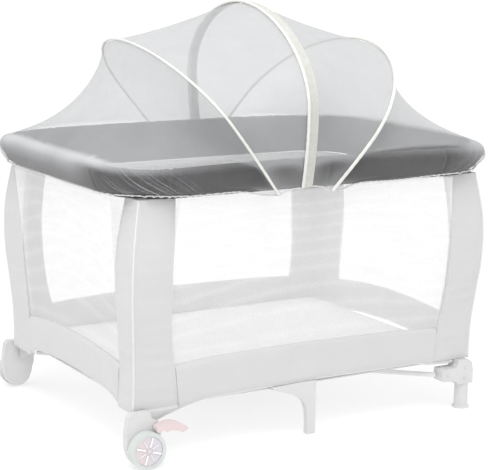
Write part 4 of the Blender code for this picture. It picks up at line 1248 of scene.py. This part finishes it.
def build_spokes(word, side_y):
    """White spokes on a wheel's disc, four long with four short ones between them, and its round cap."""
    face = side_y * (WHEEL_FACE_Y + WHEEL_WIDTH)
    for number, angle in enumerate(range(27, 387, 45)):
        turn = math.radians(angle)
        slim, far_end = (0.5, 0.026) if number % 2 == 0 else (1.0, 0.0325)
        way = np.array((math.cos(turn), 0.0, math.sin(turn)))
        across = np.array((-math.sin(turn), 0.0, math.cos(turn)))
        rings = []
        stations = ((0.010, 0.0024, 0.0008), (0.018, 0.0019, 0.0010), (far_end, 0.0023, 0.0005))
        for reach, half, rise in stations:
            high = np.array((0.0, side_y * (rise + SPOKE_DEPTH) / 2, 0.0))
            middle = np.array((WHEEL_X, face - side_y * SPOKE_DEPTH, WHEEL_RADIUS)) + way * reach + high
            rings.append(oval(middle, across * half * slim, high, 10))
        loft("wheel_spoke_%s_%d" % (word, number), rings, "spoke", "disc_pink", body="wheel_" + word)
    middle = (WHEEL_X, face, WHEEL_RADIUS)
    build_dome("wheel_cap_" + word, middle, CAP_PROFILE, side_y, 24, "disc", "disc_pink", "wheel_" + word)


def build_tab():
    """The short grey loop that hangs from the right rail's skirt on the inside."""
    rings = [oval((*TAB_PLACE, z), (0, half, 0), (thick, 0, 0), 12) for z, half, thick in TAB_LEVELS]
    loft("rail_tab", rings, "rail", "rail_grey", smooth=60.0)


def build_cot():
    for side_y, word in ((-1, "near"), (1, "far")):
        for side_x, end in ((-1, "left"), (1, "right")):
            build_post(word + "_" + end, side_x, side_y)
        for node, width in MOULDED.items():
            rounded_copy(node % word, "plastic", "plastic_pale", "cot", width)
        rounded_copy("tyre_" + word, "tyre", "tyre_pale", "wheel_" + word, 0.0028)
        rounded_copy("brake_pedal_" + word, "pedal", "pedal_pink", "brake_" + word, 0.0022)
        build_spokes(word, side_y)
        for number, (x, z) in enumerate(RIVET_PLACES):
            name = "rivet_%s_%d" % (word, number)
            build_dome(name, (x, side_y * RIVET_Y, z), RIVET_PROFILE, side_y, 16, "rivet", "plastic_pale")
    rounded_copy("hub", "plastic", "plastic_pale", "cot", 0.0016)
    build_panels()
    build_mattress()
    build_tab()


def dress_rest():
    """Finished materials for the CAD nodes that keep their shape."""
    for node, thing in NODES.items():
        if thing.hide_render:
            continue
        thing.data.materials.clear()
        thing.data.materials.append(MATERIALS["tube" if node.startswith("base_tube") else "disc"])


# Stage


def build_stage():
    size = 60.0
    mesh = bpy.data.meshes.new("stage_floor")
    corners = [(-size, -size, 0), (size, -size, 0), (size, size, 0), (-size, size, 0)]
    mesh.from_pydata(corners, [], [(0, 1, 2, 3)])
    floor = placed("stage_floor", mesh)
    made = Nodes("stage_paint")
    made.set(Base_Color=(0.54, 0.54, 0.54, 1.0), Roughness=0.9, Specular_IOR_Level=0.0)
    made.set(Emission_Color=(1.0, 1.0, 1.0, 1.0), Emission_Strength=0.50)
    mesh.materials.append(made.material)
    world = bpy.data.worlds.new("studio")
    world.use_nodes = True
    background = world.node_tree.nodes["Background"]
    background.inputs["Color"].default_value = (1.0, 1.0, 1.0, 1.0)
    background.inputs["Strength"].default_value = 1.0
    bpy.context.scene.world = world
    lamp = bpy.data.lights.new("key_light", "AREA")
    lamp.energy = 60.0
    lamp.shape = "DISK"
    lamp.size = 3.0
    key = placed("key_light", lamp)
    key.location = (-1.2, -1.6, 3.6)
    back = Vector(key.location) - Vector((0.0, 0.0, 0.4))
    key.rotation_euler = back.to_track_quat("Z", "Y").to_euler()
    bpy.context.scene.view_settings.view_transform = "Standard"


def build_camera():
    yaw, pitch, roll = map(math.radians, (CAMERA_YAW, CAMERA_PITCH, CAMERA_ROLL))
    forward = Vector((math.sin(yaw) * math.cos(pitch), math.cos(yaw) * math.cos(pitch), -math.sin(pitch)))
    level = Vector((math.cos(yaw), -math.sin(yaw), 0.0))
    above = level.cross(forward)
    right = level * math.cos(roll) + above * math.sin(roll)
    up = above * math.cos(roll) - level * math.sin(roll)
    data = bpy.data.cameras.new("photo_camera")
    data.sensor_width = 36.0
    data.sensor_fit = "HORIZONTAL"
    data.lens = CAMERA_LENS
    camera = placed("photo_camera", data)
    turn = Matrix((right, up, -forward)).transposed().to_4x4()
    camera.matrix_world = Matrix.Translation(CAMERA_AT) @ turn
    bpy.context.scene.camera = camera


build_camera()
build_stage()
net = build_net()
build_hoops()
build_rails()
build_cot()
dress_rest()
